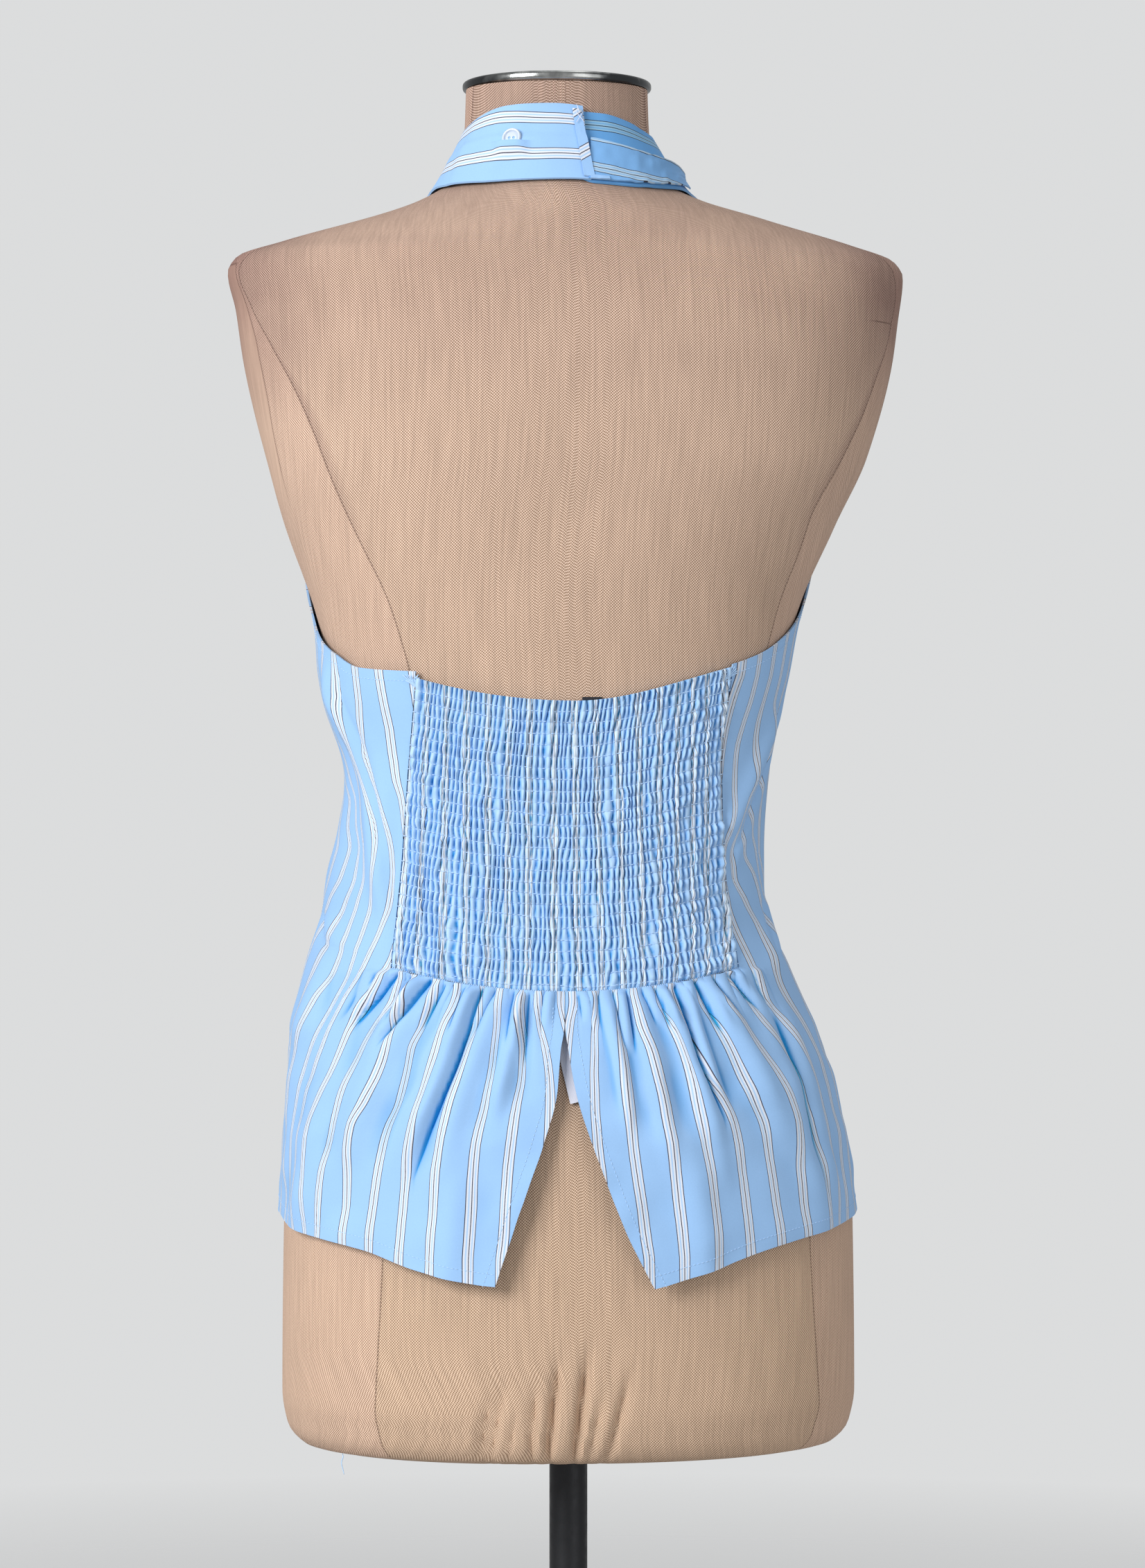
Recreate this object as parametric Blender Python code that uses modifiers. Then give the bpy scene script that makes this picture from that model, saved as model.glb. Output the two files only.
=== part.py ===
"""A striped cotton halter top with a shirred back and a split peplum, worn on a dress form.

Metres, +Z up. The origin is the centre of the stand's underside, on the pole. The back of the
top faces -Y and +X is the wearer's right. Angles run round the pole from the back (0) towards
+X, so 90 degrees is the right side and 180 the front. The cloth is worked out as a wall that
stands a stated ease off the form, so every piece follows the same two surfaces.
"""

from collections import namedtuple
import math

import bmesh
import bpy
from mathutils import Matrix, Vector
from mathutils.bvhtree import BVHTree
import numpy as np

# The stand.
BASE_RADIUS = 0.150
BASE_THICKNESS = 0.010
BASE_EDGE = 0.003
POLE_RADIUS = 0.0115
COLLAR_RADIUS = 0.024
COLLAR_HEIGHT = 0.030
SEAT_GAP = 0.0003

# The form. Its sections are superellipses: power 2 is an ellipse and more is squarer.
FORM_TURN = math.radians(5.5)
FORM_COLUMNS = 38
FORM_STEP = 0.030
Section = namedtuple("Section", "height shift half_width back front power")
FORM = [
    Section(0.242, 0.000, 0.148, 0.104, 0.086, 2.2),
    Section(0.245, 0.000, 0.161, 0.115, 0.096, 2.2),
    Section(0.256, 0.000, 0.170, 0.122, 0.103, 2.2),
    Section(0.275, 0.000, 0.173, 0.125, 0.106, 2.3),
    Section(0.377, 0.000, 0.172, 0.123, 0.104, 2.3),
    Section(0.431, -0.001, 0.164, 0.123, 0.103, 2.3),
    Section(0.470, -0.001, 0.155, 0.117, 0.101, 2.3),
    Section(0.505, -0.002, 0.143, 0.108, 0.097, 2.3),
    Section(0.530, -0.002, 0.133, 0.100, 0.094, 2.3),
    Section(0.568, -0.003, 0.119, 0.090, 0.090, 2.3),
    Section(0.600, -0.003, 0.119, 0.086, 0.091, 2.3),
    Section(0.654, -0.004, 0.124, 0.086, 0.101, 2.3),
    Section(0.704, -0.006, 0.137, 0.090, 0.114, 2.3),
    Section(0.744, -0.007, 0.146, 0.095, 0.122, 2.3),
    Section(0.795, -0.005, 0.166, 0.100, 0.121, 2.4),
    Section(0.838, -0.001, 0.182, 0.103, 0.112, 2.5),
    Section(0.892, 0.000, 0.196, 0.103, 0.098, 2.5),
    Section(0.925, 0.000, 0.201, 0.098, 0.088, 2.4),
    Section(0.948, -0.001, 0.205, 0.091, 0.078, 2.2),
    Section(0.957, -0.001, 0.200, 0.087, 0.074, 2.1),
    Section(0.966, 0.000, 0.175, 0.083, 0.069, 2.0),
    Section(0.981, 0.000, 0.122, 0.076, 0.063, 2.0),
    Section(0.992, -0.004, 0.087, 0.070, 0.060, 2.0),
    Section(1.001, -0.006, 0.070, 0.063, 0.059, 2.0),
    Section(1.014, -0.006, 0.060, 0.055, 0.059, 2.0),
    Section(1.034, -0.007, 0.056, 0.050, 0.061, 2.0),
    Section(1.060, -0.007, 0.055, 0.047, 0.062, 2.0),
]
CAP_RADIUS = 0.0573
CAP_THICKNESS = 0.0055
CAP_EDGE = 0.0022
CAP_CENTRE_Y = 0.0075

# The cloth. Ease is how far its inside stands off the form at the sides, back and front.
WALL = 0.0012
SEAM_GAP = 0.0003
Ease = namedtuple("Ease", "height left right back front")
EASE = [
    Ease(0.330, 0.0013, 0.0013, 0.0110, 0.0120),
    Ease(0.380, 0.0013, 0.0013, 0.0095, 0.0110),
    Ease(0.424, 0.0045, 0.0020, 0.0070, 0.0095),
    Ease(0.466, 0.0110, 0.0020, 0.0060, 0.0095),
    Ease(0.505, 0.0195, 0.0020, 0.0040, 0.0110),
    Ease(0.530, 0.0235, 0.0015, 0.0022, 0.0120),
    Ease(0.555, 0.0260, 0.0012, 0.0030, 0.0130),
    Ease(0.583, 0.0235, 0.0013, 0.0038, 0.0120),
    Ease(0.613, 0.0158, 0.0013, 0.0036, 0.0090),
    Ease(0.650, 0.0076, 0.0013, 0.0030, 0.0060),
    Ease(0.681, 0.0092, 0.0013, 0.0022, 0.0040),
    Ease(0.704, 0.0070, 0.0014, 0.0026, 0.0030),
    Ease(0.744, 0.0015, 0.0015, 0.0026, 0.0022),
    Ease(0.850, 0.0016, 0.0016, 0.0016, 0.0020),
]
SIDE_SEAM = math.radians(97)
SIDE_SEAM_HALF_GAP = math.radians(0.06)
WAIST_HEIGHT = 0.532

# The shirred panel. Its side edges are distances from the middle plane, left and right.
Edge = namedtuple("Edge", "height left right")
SMOCK_EDGES = [
    Edge(0.520, -0.1052, 0.1020),
    Edge(0.590, -0.0980, 0.0925),
    Edge(0.650, -0.0940, 0.0905),
    Edge(0.705, -0.0895, 0.0965),
]
SIDE_TOP = 0.708
SMOCK_TOP_MIDDLE = 0.689
SMOCK_BOTTOM_MIDDLE = 0.519
SMOCK_DIP = 0.0125
SMOCK_HALF = 0.100
SMOCK_SIDE_GAP = 0.0006
SMOCK_RIBS = 60
SMOCK_RIB_HEIGHT = 0.0021
SMOCK_PUFFS = 5
SMOCK_PUFF_DEPTH = 0.35
SMOCK_PUFF_SHIFT = 0.618
SMOCK_RUFFLE = 0.0065

# Top edge of the side pieces and the front, by angle from the back.
Rim = namedtuple("Rim", "angle left right")
TOP_EDGE = [
    Rim(40, 0.7060, 0.7085),
    Rim(50, 0.7070, 0.7085),
    Rim(60, 0.7090, 0.7120),
    Rim(69, 0.7180, 0.7190),
    Rim(78, 0.7280, 0.7300),
    Rim(88, 0.7420, 0.7450),
    Rim(102, 0.7700, 0.7720),
    Rim(118, 0.8080, 0.8080),
    Rim(133, 0.8350, 0.8350),
    Rim(180, 0.8350, 0.8350),
]

# The peplum: its hem, the slanted edges of the back split, and how its folds fan out.
HEM = [
    Rim(0, 0.3470, 0.3410),
    Rim(18, 0.3490, 0.3455),
    Rim(35, 0.3570, 0.3560),
    Rim(48, 0.3680, 0.3660),
    Rim(62, 0.3740, 0.3740),
    Rim(85, 0.3830, 0.3830),
    Rim(130, 0.3920, 0.3920),
    Rim(180, 0.3960, 0.3960),
]
SPLIT_EDGES = [
    Edge(0.340, -0.0445, 0.0520),
    Edge(0.385, -0.0300, 0.0315),
    Edge(0.432, -0.0140, 0.0140),
    Edge(0.460, -0.0065, 0.0050),
    Edge(0.485, -0.0044, 0.0002),
    Edge(0.500, -0.0022, -0.0018),
    Edge(0.520, -0.0022, -0.0018),
]
FAN = 0.27
PEPLUM_LENGTH = 0.172
GATHER_COLUMNS = 3
SIDE_COLUMNS = 14
SIDE_ROWS = 9
PEPLUM_ROWS = (0, 0.06, 0.13, 0.22, 0.35, 0.48, 0.61, 0.74, 0.87, 1)
GATHERS = 13
GATHER_HEIGHT = 0.0036
GATHER_LENGTH = 0.045
GATHER_SWAY = 0.31
GATHER_SWAY_PITCH = 1.7
GATHER_REACH_PITCH = 2.3
SPLIT_LIFT = 0.003
SPLIT_LIFT_REACH = math.radians(9)

# Folds as soft ridges, in degrees round from the back and metres: where each starts and ends,
# how wide and how high it is. A negative height is a trough.
Fold = namedtuple("Fold", "angle height to_angle to_height width rise")
FOLDS = [
    Fold(-72, 0.700, -60, 0.636, 10, 0.0050),
    Fold(-60, 0.636, -51, 0.566, 8, 0.0060),
    Fold(-72, 0.640, -66, 0.530, 11, -0.0045),
    Fold(-66, 0.560, -74, 0.470, 11, 0.0040),
    Fold(84, 0.672, 61, 0.592, 9, 0.0045),
    Fold(82, 0.566, 72, 0.530, 10, 0.0035),
    Fold(-20, 0.515, -30, 0.415, 6, 0.0075),
    Fold(-29, 0.515, -38, 0.430, 6, 0.0060),
    Fold(-13, 0.515, -17, 0.455, 4, 0.0045),
    Fold(-40, 0.520, -52, 0.420, 9, 0.0060),
    Fold(-60, 0.450, -66, 0.380, 11, 0.0050),
    Fold(-26, 0.420, -28, 0.345, 8, 0.0045),
    Fold(13, 0.515, 16, 0.450, 4, 0.0050),
    Fold(22, 0.515, 26, 0.430, 6, 0.0050),
    Fold(31, 0.515, 38, 0.425, 6, 0.0085),
    Fold(46, 0.520, 54, 0.440, 8, 0.0055),
    Fold(59, 0.490, 65, 0.385, 11, 0.0055),
    Fold(31, 0.430, 34, 0.350, 9, 0.0040),
]
FOLD_REACH = 0.13
SEAM_HOLD = 0.012
FRONT_COLUMNS = 31
FRONT_ROWS = 16
FRONT_FLUTES = 9
FRONT_FLUTE_HEIGHT = 0.0050
FRONT_FLUTE_TOP = 0.560
FRONT_FLUTE_FULL = 0.380

# The neck straps. Each station gives the two edges by their distance out from the neck's
# middle, their depth and their height, from the front seam round to the back of the neck, and
# how much lower the right strap's inner edge runs there than the left's.
Station = namedtuple("Station", "inner_out inner_y inner_z outer_out outer_y outer_z right_drop")
STRAP = [
    Station(0.068, 0.107, 0.8368, 0.112, 0.097, 0.8368, 0.0),
    Station(0.066, 0.099, 0.8800, 0.107, 0.091, 0.8800, 0.0),
    Station(0.063, 0.086, 0.9280, 0.102, 0.080, 0.9260, 0.0),
    Station(0.060, 0.070, 0.9680, 0.096, 0.062, 0.9580, 0.0),
    Station(0.058, 0.042, 0.9980, 0.086, 0.032, 0.9830, 0.0),
    Station(0.056, 0.008, 1.0240, 0.077, -0.004, 0.9955, 0.0),
    Station(0.049, -0.028, 1.0375, 0.065, -0.038, 0.9962, 0.003),
    Station(0.028, -0.046, 1.0450, 0.040, -0.061, 0.9975, 0.0045),
    Station(0.003, -0.051, 1.0455, 0.006, -0.069, 0.9988, 0.004),
    Station(-0.020, -0.048, 1.0435, -0.026, -0.066, 0.9985, 0.004),
    Station(-0.040, -0.038, 1.0400, -0.052, -0.052, 0.9975, 0.004),
]
STRAP_ROWS = 32
STRAP_COLUMNS = 5
STRAP_GAP = 0.0012
STRAP_CROSSING = (0.30, 0.55)
UNDER_GAP = 0.0006
OVER_GAP = 0.0026
LEFT_STRAP_END = 0.878
RIGHT_STRAP_END = 0.985

BUTTON_RADIUS = 0.0060
BUTTON_THICKNESS = 0.0024
BUTTON_X = -0.0362
BUTTON_REACH_Y = -0.066
BUTTON_Z = 1.0275
BUTTON_HOLE_RADIUS = 0.0009
BUTTON_HOLE_APART = 0.0026
BUTTON_CLEAR = 0.0006

LABEL_GAP = 0.0007
CARE_LABEL_X = -0.004
CARE_LABEL_WIDTH = 0.020
CARE_LABEL_TOP = 0.5165
CARE_LABEL_LENGTH = 0.062
CARE_LABEL_TILT = math.radians(14)
CARE_LABEL_THICKNESS = 0.0006
SIZE_LABEL_LEFT = 0.0085
SIZE_LABEL_WIDTH = 0.0120
SIZE_LABEL_RISE = 0.0022
SIZE_LABEL_DROP = 0.0100
SIZE_LABEL_THICKNESS = 0.0005

Finish = namedtuple("Finish", "colour roughness metallic")
COTTON = Finish((0.38, 0.60, 0.90), 0.85, 0.0)
LINEN = Finish((0.52, 0.39, 0.29), 0.90, 0.0)
DARK_CHROME = Finish((0.16, 0.17, 0.18), 0.15, 1.0)
BLACK_METAL = Finish((0.02, 0.02, 0.022), 0.45, 1.0)
WHITE_RESIN = Finish((0.86, 0.88, 0.92), 0.30, 0.0)
WHITE_SATIN = Finish((0.80, 0.82, 0.90), 0.60, 0.0)
BLACK_SATIN = Finish((0.02, 0.02, 0.03), 0.60, 0.0)


def clear_scene():
    for item in list(bpy.data.objects):
        bpy.data.objects.remove(item, do_unlink=True)


def make_collection(name):
    collection = bpy.data.collections.new(name)
    bpy.context.scene.collection.children.link(collection)
    return collection


def make_material(name, finish):
    material = bpy.data.materials.new(name)
    material.use_nodes = True
    shader = material.node_tree.nodes["Principled BSDF"]
    shader.inputs["Base Color"].default_value = (*finish.colour, 1)
    shader.inputs["Roughness"].default_value = finish.roughness
    shader.inputs["Metallic"].default_value = finish.metallic
    material.diffuse_color = (*finish.colour, 1)
    return material


def add_object(name, mesh, finish, collection):
    item = bpy.data.objects.new(name, mesh)
    mesh.materials.append(make_material(name, finish))
    collection.objects.link(item)
    return item


def table_value(rows, key, column, at):
    """A column of a table at the given keys, joined by cubics that never overshoot."""
    xs = np.array([getattr(row, key) for row in rows])
    ys = np.array([getattr(row, column) for row in rows])
    slopes = np.diff(ys) / np.diff(xs)
    tangents = np.concatenate([slopes[:1], np.zeros(len(xs) - 2), slopes[-1:]])
    for i in range(1, len(xs) - 1):
        if slopes[i - 1] * slopes[i] > 0:
            tangents[i] = 2 * slopes[i - 1] * slopes[i] / (slopes[i - 1] + slopes[i])
    at = np.clip(np.asarray(at, float), xs[0], xs[-1])
    i = np.clip(np.searchsorted(xs, at) - 1, 0, len(xs) - 2)
    step = xs[i + 1] - xs[i]
    t = (at - xs[i]) / step
    start = ys[i] * (2 * t**3 - 3 * t**2 + 1) + step * tangents[i] * (t**3 - 2 * t**2 + t)
    return start + ys[i + 1] * (3 * t**2 - 2 * t**3) + step * tangents[i + 1] * (t**3 - t**2)


def blend(low, high, value):
    """0 below low, 1 above high and a smooth rise between."""
    t = np.clip((value - low) / (high - low), 0, 1)
    return t * t * (3 - 2 * t)


def form_radius(angle, height):
    local = angle - FORM_TURN
    half = table_value(FORM, "height", "half_width", height)
    back = table_value(FORM, "height", "back", height)
    front = table_value(FORM, "height", "front", height)
    power = table_value(FORM, "height", "power", height)
    depth = np.where(np.cos(local) > 0, back, front)
    across = np.abs(np.sin(local)) / half
    along = np.abs(np.cos(local)) / depth
    return (across**power + along**power) ** (-1 / power)


def place(angle, height, radius):
    """Points round the pole, as an array whose last axis is x, y, z."""
    shift = table_value(FORM, "height", "shift", height)
    x = shift + radius * np.sin(angle)
    y = -radius * np.cos(angle)
    return np.stack(np.broadcast_arrays(x, y, height), axis=-1)


def cloth_ease(angle, height):
    side = np.where(
        np.sin(angle) < 0,
        table_value(EASE, "height", "left", height),
        table_value(EASE, "height", "right", height),
    )
    back = table_value(EASE, "height", "back", height)
    front = table_value(EASE, "height", "front", height)
    ends = np.where(np.cos(angle) > 0, back, front)
    return side * np.sin(angle) ** 2 + ends * np.cos(angle) ** 2


def cloth_radius(angle, height):
    return form_radius(angle, height) + cloth_ease(angle, height)


def back_angle(x, height):
    """The angle at which the cloth's inside has this x, on the back half."""
    angles = np.radians(np.linspace(-89, 89, 179))
    found = []
    for one_x, one_height in zip(np.ravel(x), np.ravel(height)):
        points = place(angles, np.full(angles.shape, one_height), cloth_radius(angles, one_height))
        found.append(np.interp(one_x, points[:, 0], angles))
    return np.array(found).reshape(np.shape(x))


def fold_rise(angle, height):
    """The sum of the hand-placed folds, each a ridge that swells and dies along its line."""
    total = np.zeros(np.shape(angle))
    degrees = np.degrees(angle)
    for fold in FOLDS:
        drop = fold.to_height - fold.height
        along = (height - fold.height) / drop
        middle = fold.angle + (fold.to_angle - fold.angle) * along
        across = np.exp(-(((degrees - middle) / (fold.width / 2)) ** 2))
        swell = blend(-0.35, 0.3, along) * (1 - blend(0.7, 1.35, along))
        total += fold.rise * across * swell
    return np.maximum(total, 0.25 * total)


def gather_rise(fan_angle, drop, corner):
    """Small gathers under the shirring, uneven in spacing and length."""
    turns = GATHERS * fan_angle / corner
    sway = GATHER_SWAY * np.sin(GATHER_SWAY_PITCH * turns)
    wave = 0.5 - 0.5 * np.cos(2 * math.pi * (turns + sway))
    reach = GATHER_LENGTH * (1 + 0.5 * np.sin(GATHER_REACH_PITCH * turns))
    share = np.abs(fan_angle / corner)
    inside = blend(0.05, 0.12, share) * (1 - blend(0.97, 1.1, share))
    return GATHER_HEIGHT * wave * np.exp(-((drop / reach) ** 1.5)) * inside


def upright_normals(points):
    """Plan directions square to each row of a grid, pointing away from the pole."""
    run = np.gradient(points, axis=1)
    normals = np.stack([run[..., 1], -run[..., 0], np.zeros(run.shape[:2])], axis=-1)
    normals /= np.maximum(np.linalg.norm(normals, axis=-1, keepdims=True), 1e-9)
    outward = np.sum(normals[..., :2] * points[..., :2], axis=-1, keepdims=True)
    return normals * np.where(outward < 0, -1, 1)


def wall_mesh(name, inner, outer, present=None):
    """A closed wall between two grids. Present says which cells there are, for an L shape."""
    rows, columns = inner.shape[:2]
    if present is None:
        present = np.ones((rows - 1, columns - 1), bool)
    mesh = bmesh.new()
    corners = {}

    def corner(layer, row, column):
        key = (layer, row, column)
        if key not in corners:
            grid = outer if layer else inner
            corners[key] = mesh.verts.new(grid[row, column])
        return corners[key]

    borders = {}
    for row, column in zip(*np.nonzero(present)):
        loop = [(row, column), (row, column + 1), (row + 1, column + 1), (row + 1, column)]
        mesh.faces.new([corner(1, *at) for at in loop])
        mesh.faces.new([corner(0, *at) for at in reversed(loop)])
        for start, end in zip(loop, loop[1:] + loop[:1]):
            if (end, start) in borders:
                del borders[end, start]
            else:
                borders[start, end] = True
    for start, end in borders:
        rim = [corner(1, *start), corner(0, *start), corner(0, *end), corner(1, *end)]
        mesh.faces.new(rim)
    bmesh.ops.recalc_face_normals(mesh, faces=mesh.faces)
    data = bpy.data.meshes.new(name)
    mesh.to_mesh(data)
    mesh.free()
    data.shade_smooth()
    data.set_sharp_from_angle(angle=math.radians(40))
    return data


def turned_object(name, profile, finish, collection, segments=48):
    """A turned piece: the profile runs down its outer side, from the axis to the axis."""
    mesh = bpy.data.meshes.new(name)
    points = [(radius, 0, height) for radius, height in profile]
    mesh.from_pydata(points, [(i, i + 1) for i in range(len(points) - 1)], [])
    item = add_object(name, mesh, finish, collection)
    screw = item.modifiers.new("turn", "SCREW")
    screw.steps = segments
    screw.render_steps = segments
    screw.use_merge_vertices = True
    screw.merge_threshold = 0.00001
    screw.use_smooth_shade = True
    return item


def rounded_profile(radius, low, high, edge, steps=2):
    """A disc's outline from the top of its axis, round both rims, to the foot of its axis."""
    turns = [math.radians(90 * i / steps) for i in range(steps + 1)]
    top = [(radius - edge * (1 - math.sin(t)), high - edge * (1 - math.cos(t))) for t in turns]
    foot = [(radius - edge * (1 - math.cos(t)), low + edge * (1 - math.sin(t))) for t in turns]
    return [(0, high)] + top + foot + [(0, low)]


def form_heights():
    """The table's heights, with more between where they are far apart."""
    heights = [FORM[0].height]
    for low, high in zip(FORM, FORM[1:]):
        steps = max(1, math.ceil((high.height - low.height) / FORM_STEP))
        heights += list(np.linspace(low.height, high.height, steps + 1)[1:])
    return np.array(heights)


def form_mesh():
    heights = form_heights()
    turns = np.linspace(0, 2 * math.pi, FORM_COLUMNS, endpoint=False)
    mesh = bmesh.new()
    rings = []
    for height in heights:
        half = table_value(FORM, "height", "half_width", height)
        back = table_value(FORM, "height", "back", height)
        angles = np.arctan2(half * np.sin(turns), back * np.cos(turns)) + FORM_TURN
        points = place(angles, np.full(angles.shape, height), form_radius(angles, height))
        rings.append([mesh.verts.new(point) for point in points])
    for low, high in zip(rings, rings[1:]):
        for i in range(FORM_COLUMNS):
            j = (i + 1) % FORM_COLUMNS
            mesh.faces.new([low[i], low[j], high[j], high[i]])
    mesh.faces.new(list(reversed(rings[0])))
    mesh.faces.new(rings[-1])
    bmesh.ops.recalc_face_normals(mesh, faces=mesh.faces)
    data = bpy.data.meshes.new("form_torso")
    mesh.to_mesh(data)
    mesh.free()
    data.shade_smooth()
    data.set_sharp_from_angle(angle=math.radians(50))
    return data


def build_stand(collection):
    foot = FORM[0].height
    top = FORM[-1].height
    add_object("form_torso", form_mesh(), LINEN, collection)
    profile = rounded_profile(BASE_RADIUS, 0, BASE_THICKNESS, BASE_EDGE)
    turned_object("stand_base", profile, BLACK_METAL, collection)
    pole_foot = BASE_THICKNESS + SEAT_GAP
    profile = [
        (0, foot - SEAT_GAP),
        (POLE_RADIUS, foot - SEAT_GAP),
        (POLE_RADIUS, pole_foot + COLLAR_HEIGHT),
        (COLLAR_RADIUS, pole_foot + COLLAR_HEIGHT * 0.6),
        (COLLAR_RADIUS, pole_foot),
        (0, pole_foot),
    ]
    turned_object("stand_pole", profile, BLACK_METAL, collection, 24)
    low = top + SEAT_GAP
    profile = rounded_profile(CAP_RADIUS, low, low + CAP_THICKNESS, CAP_EDGE)
    cap = turned_object("form_neck_cap", profile, DARK_CHROME, collection)
    cap.location = (FORM[-1].shift, CAP_CENTRE_Y, 0)


def smock_edge(height, side):
    return table_value(SMOCK_EDGES, "height", side, height)


def smock_line(middle, x):
    """A level line of the shirring, lower in the middle than at its corners."""
    return middle + SMOCK_DIP * (x / SMOCK_HALF) ** 2


def smock_grid(across, down):
    """Angles and heights of the shirred panel at fractions across it and down it."""
    left = smock_edge(WAIST_HEIGHT, "left")
    right = smock_edge(WAIST_HEIGHT, "right")
    x = left + (right - left) * across
    heights = smock_line(SMOCK_TOP_MIDDLE, x) * (1 - down)
    heights = heights + (smock_line(SMOCK_BOTTOM_MIDDLE, x) + SEAM_GAP / 2) * down
    low = smock_edge(heights, "left") + SMOCK_SIDE_GAP
    high = smock_edge(heights, "right") - SMOCK_SIDE_GAP
    return back_angle(low + (high - low) * across, heights), heights


def smock_relief(across, down, length):
    """Height of the puffed ribs above the wall: each rib swells and thins out of step."""
    rib = np.abs(np.sin(math.pi * SMOCK_RIBS * across))
    below = np.maximum(down * length - SMOCK_RUFFLE, 0)
    row = SMOCK_PUFFS * below / (length - SMOCK_RUFFLE)
    row = row + SMOCK_PUFF_SHIFT * np.floor(SMOCK_RIBS * across)
    puff = 1 - SMOCK_PUFF_DEPTH * (1 - np.abs(np.sin(math.pi * row)))
    return SMOCK_RIB_HEIGHT * rib * puff


def build_smocked_back(collection):
    """Outer points carry the ribs. The inside is plain and has a row to every few of theirs."""
    length = SMOCK_TOP_MIDDLE - SMOCK_BOTTOM_MIDDLE
    columns = np.linspace(0, 1, 2 * SMOCK_RIBS + 1)
    ruffle = SMOCK_RUFFLE / length
    rows = np.concatenate([[0], np.linspace(ruffle, 1, 2 * SMOCK_PUFFS + 1)])
    across, down = np.meshgrid(columns, rows)
    angles, heights = smock_grid(across, down)
    inner = place(angles, heights, cloth_radius(angles, heights))
    normals = upright_normals(inner)
    relief = smock_relief(across, down, length)
    outer = inner + normals * (WALL + relief)[..., None]
    coarse = [0, 1] + list(range(4, len(rows) - 1, 3)) + [len(rows) - 1]
    mesh = two_sided_mesh("smocked_back", inner, outer, coarse)
    add_object("smocked_back", mesh, COTTON, collection)


def two_sided_mesh(name, inner, outer, coarse):
    """A closed wall whose inside uses only the coarse rows of the outside's grid."""
    mesh = bmesh.new()
    outside = [[mesh.verts.new(point) for point in row] for row in outer]
    inside = {row: [mesh.verts.new(point) for point in inner[row]] for row in coarse}
    last = len(outside[0]) - 1
    for high, low in zip(outside, outside[1:]):
        for i in range(last):
            mesh.faces.new([high[i], low[i], low[i + 1], high[i + 1]])
    for high, low in zip(coarse, coarse[1:]):
        for i in range(last):
            loop = [inside[high][i], inside[high][i + 1], inside[low][i + 1], inside[low][i]]
            mesh.faces.new(loop)
        for i in (0, last):
            strip = [outside[row][i] for row in range(high, low + 1)]
            mesh.faces.new(strip + [inside[low][i], inside[high][i]])
    for row in (0, coarse[-1]):
        for i in range(last):
            loop = [outside[row][i], outside[row][i + 1], inside[row][i + 1], inside[row][i]]
            mesh.faces.new(loop)
    bmesh.ops.recalc_face_normals(mesh, faces=mesh.faces)
    data = bpy.data.meshes.new(name)
    mesh.to_mesh(data)
    mesh.free()
    return data


def rim_height(table, angle, side):
    return table_value(table, "angle", side, np.degrees(np.abs(angle)))


def side_grid(side, sign):
    """Angles, heights and gather rise of a side piece, from the waist's gathers to its seam.

    Columns run from the back edge to the side seam, and those before the shirring's corner
    are in the peplum alone. Rows run from the top edge down to the hem.
    """
    under = GATHER_COLUMNS * GATHERS
    corner_height = WAIST_HEIGHT - SEAM_GAP / 2
    corner_x = smock_edge(corner_height, side) + sign * SEAM_GAP / 2
    corner = abs(float(back_angle(corner_x, corner_height)))
    seam = SIDE_SEAM - SIDE_SEAM_HALF_GAP
    upper_angles, upper_heights, upper_away = [], [], []
    for fraction in np.linspace(0, 1, SIDE_ROWS)[:-1]:
        edge_height = SIDE_TOP + (corner_height - SIDE_TOP) * fraction
        edge_x = smock_edge(edge_height, side) + sign * SEAM_GAP / 2
        edge = abs(float(back_angle(edge_x, edge_height)))
        angles = edge + (seam - edge) * np.linspace(0, 1, SIDE_COLUMNS)
        top = rim_height(TOP_EDGE, angles, side)
        upper_angles.append(np.concatenate([np.full(under, edge), angles]))
        upper_away.append((upper_angles[-1] - edge) * FOLD_REACH)
        heights = top + (corner_height - top) * fraction
        upper_heights.append(np.concatenate([np.full(under, heights[0]), heights]))
    lower_angles, lower_heights, lower_away = [], [], []
    for fraction in PEPLUM_ROWS:
        spread = 1 + FAN * fraction
        fans = split_fans(side, sign, fraction, corner, under)
        rest = corner + (seam / spread - corner) * np.linspace(0, 1, SIDE_COLUMNS)
        fans = np.concatenate([fans, rest])
        angles = fans * spread
        hem = rim_height(HEM, angles, side)
        start = seam_heights(sign * fans, corner)
        lower_angles.append(angles)
        lower_heights.append(start + (hem - start) * fraction)
        aside = np.maximum(fans - corner, 0) * FOLD_REACH
        lower_away.append(np.hypot(aside, start - lower_heights[-1]))
    angles = sign * np.array(upper_angles + lower_angles)
    heights = np.array(upper_heights + lower_heights)
    away = np.array(upper_away + lower_away)
    present = np.ones((len(angles) - 1, angles.shape[1] - 1), bool)
    present[: len(upper_angles), :under] = False
    return angles, heights, away, present, corner


def seam_heights(fans, corner):
    """Height of the seam above the peplum: the shirring's foot, then level to the side."""
    points = place(fans, np.full(fans.shape, WAIST_HEIGHT), cloth_radius(fans, WAIST_HEIGHT))
    line = smock_line(SMOCK_BOTTOM_MIDDLE, points[:, 0]) - SEAM_GAP / 2
    level = WAIST_HEIGHT - SEAM_GAP / 2
    return np.where(np.abs(fans) < corner - 1e-6, np.minimum(line, level), level)


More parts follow.
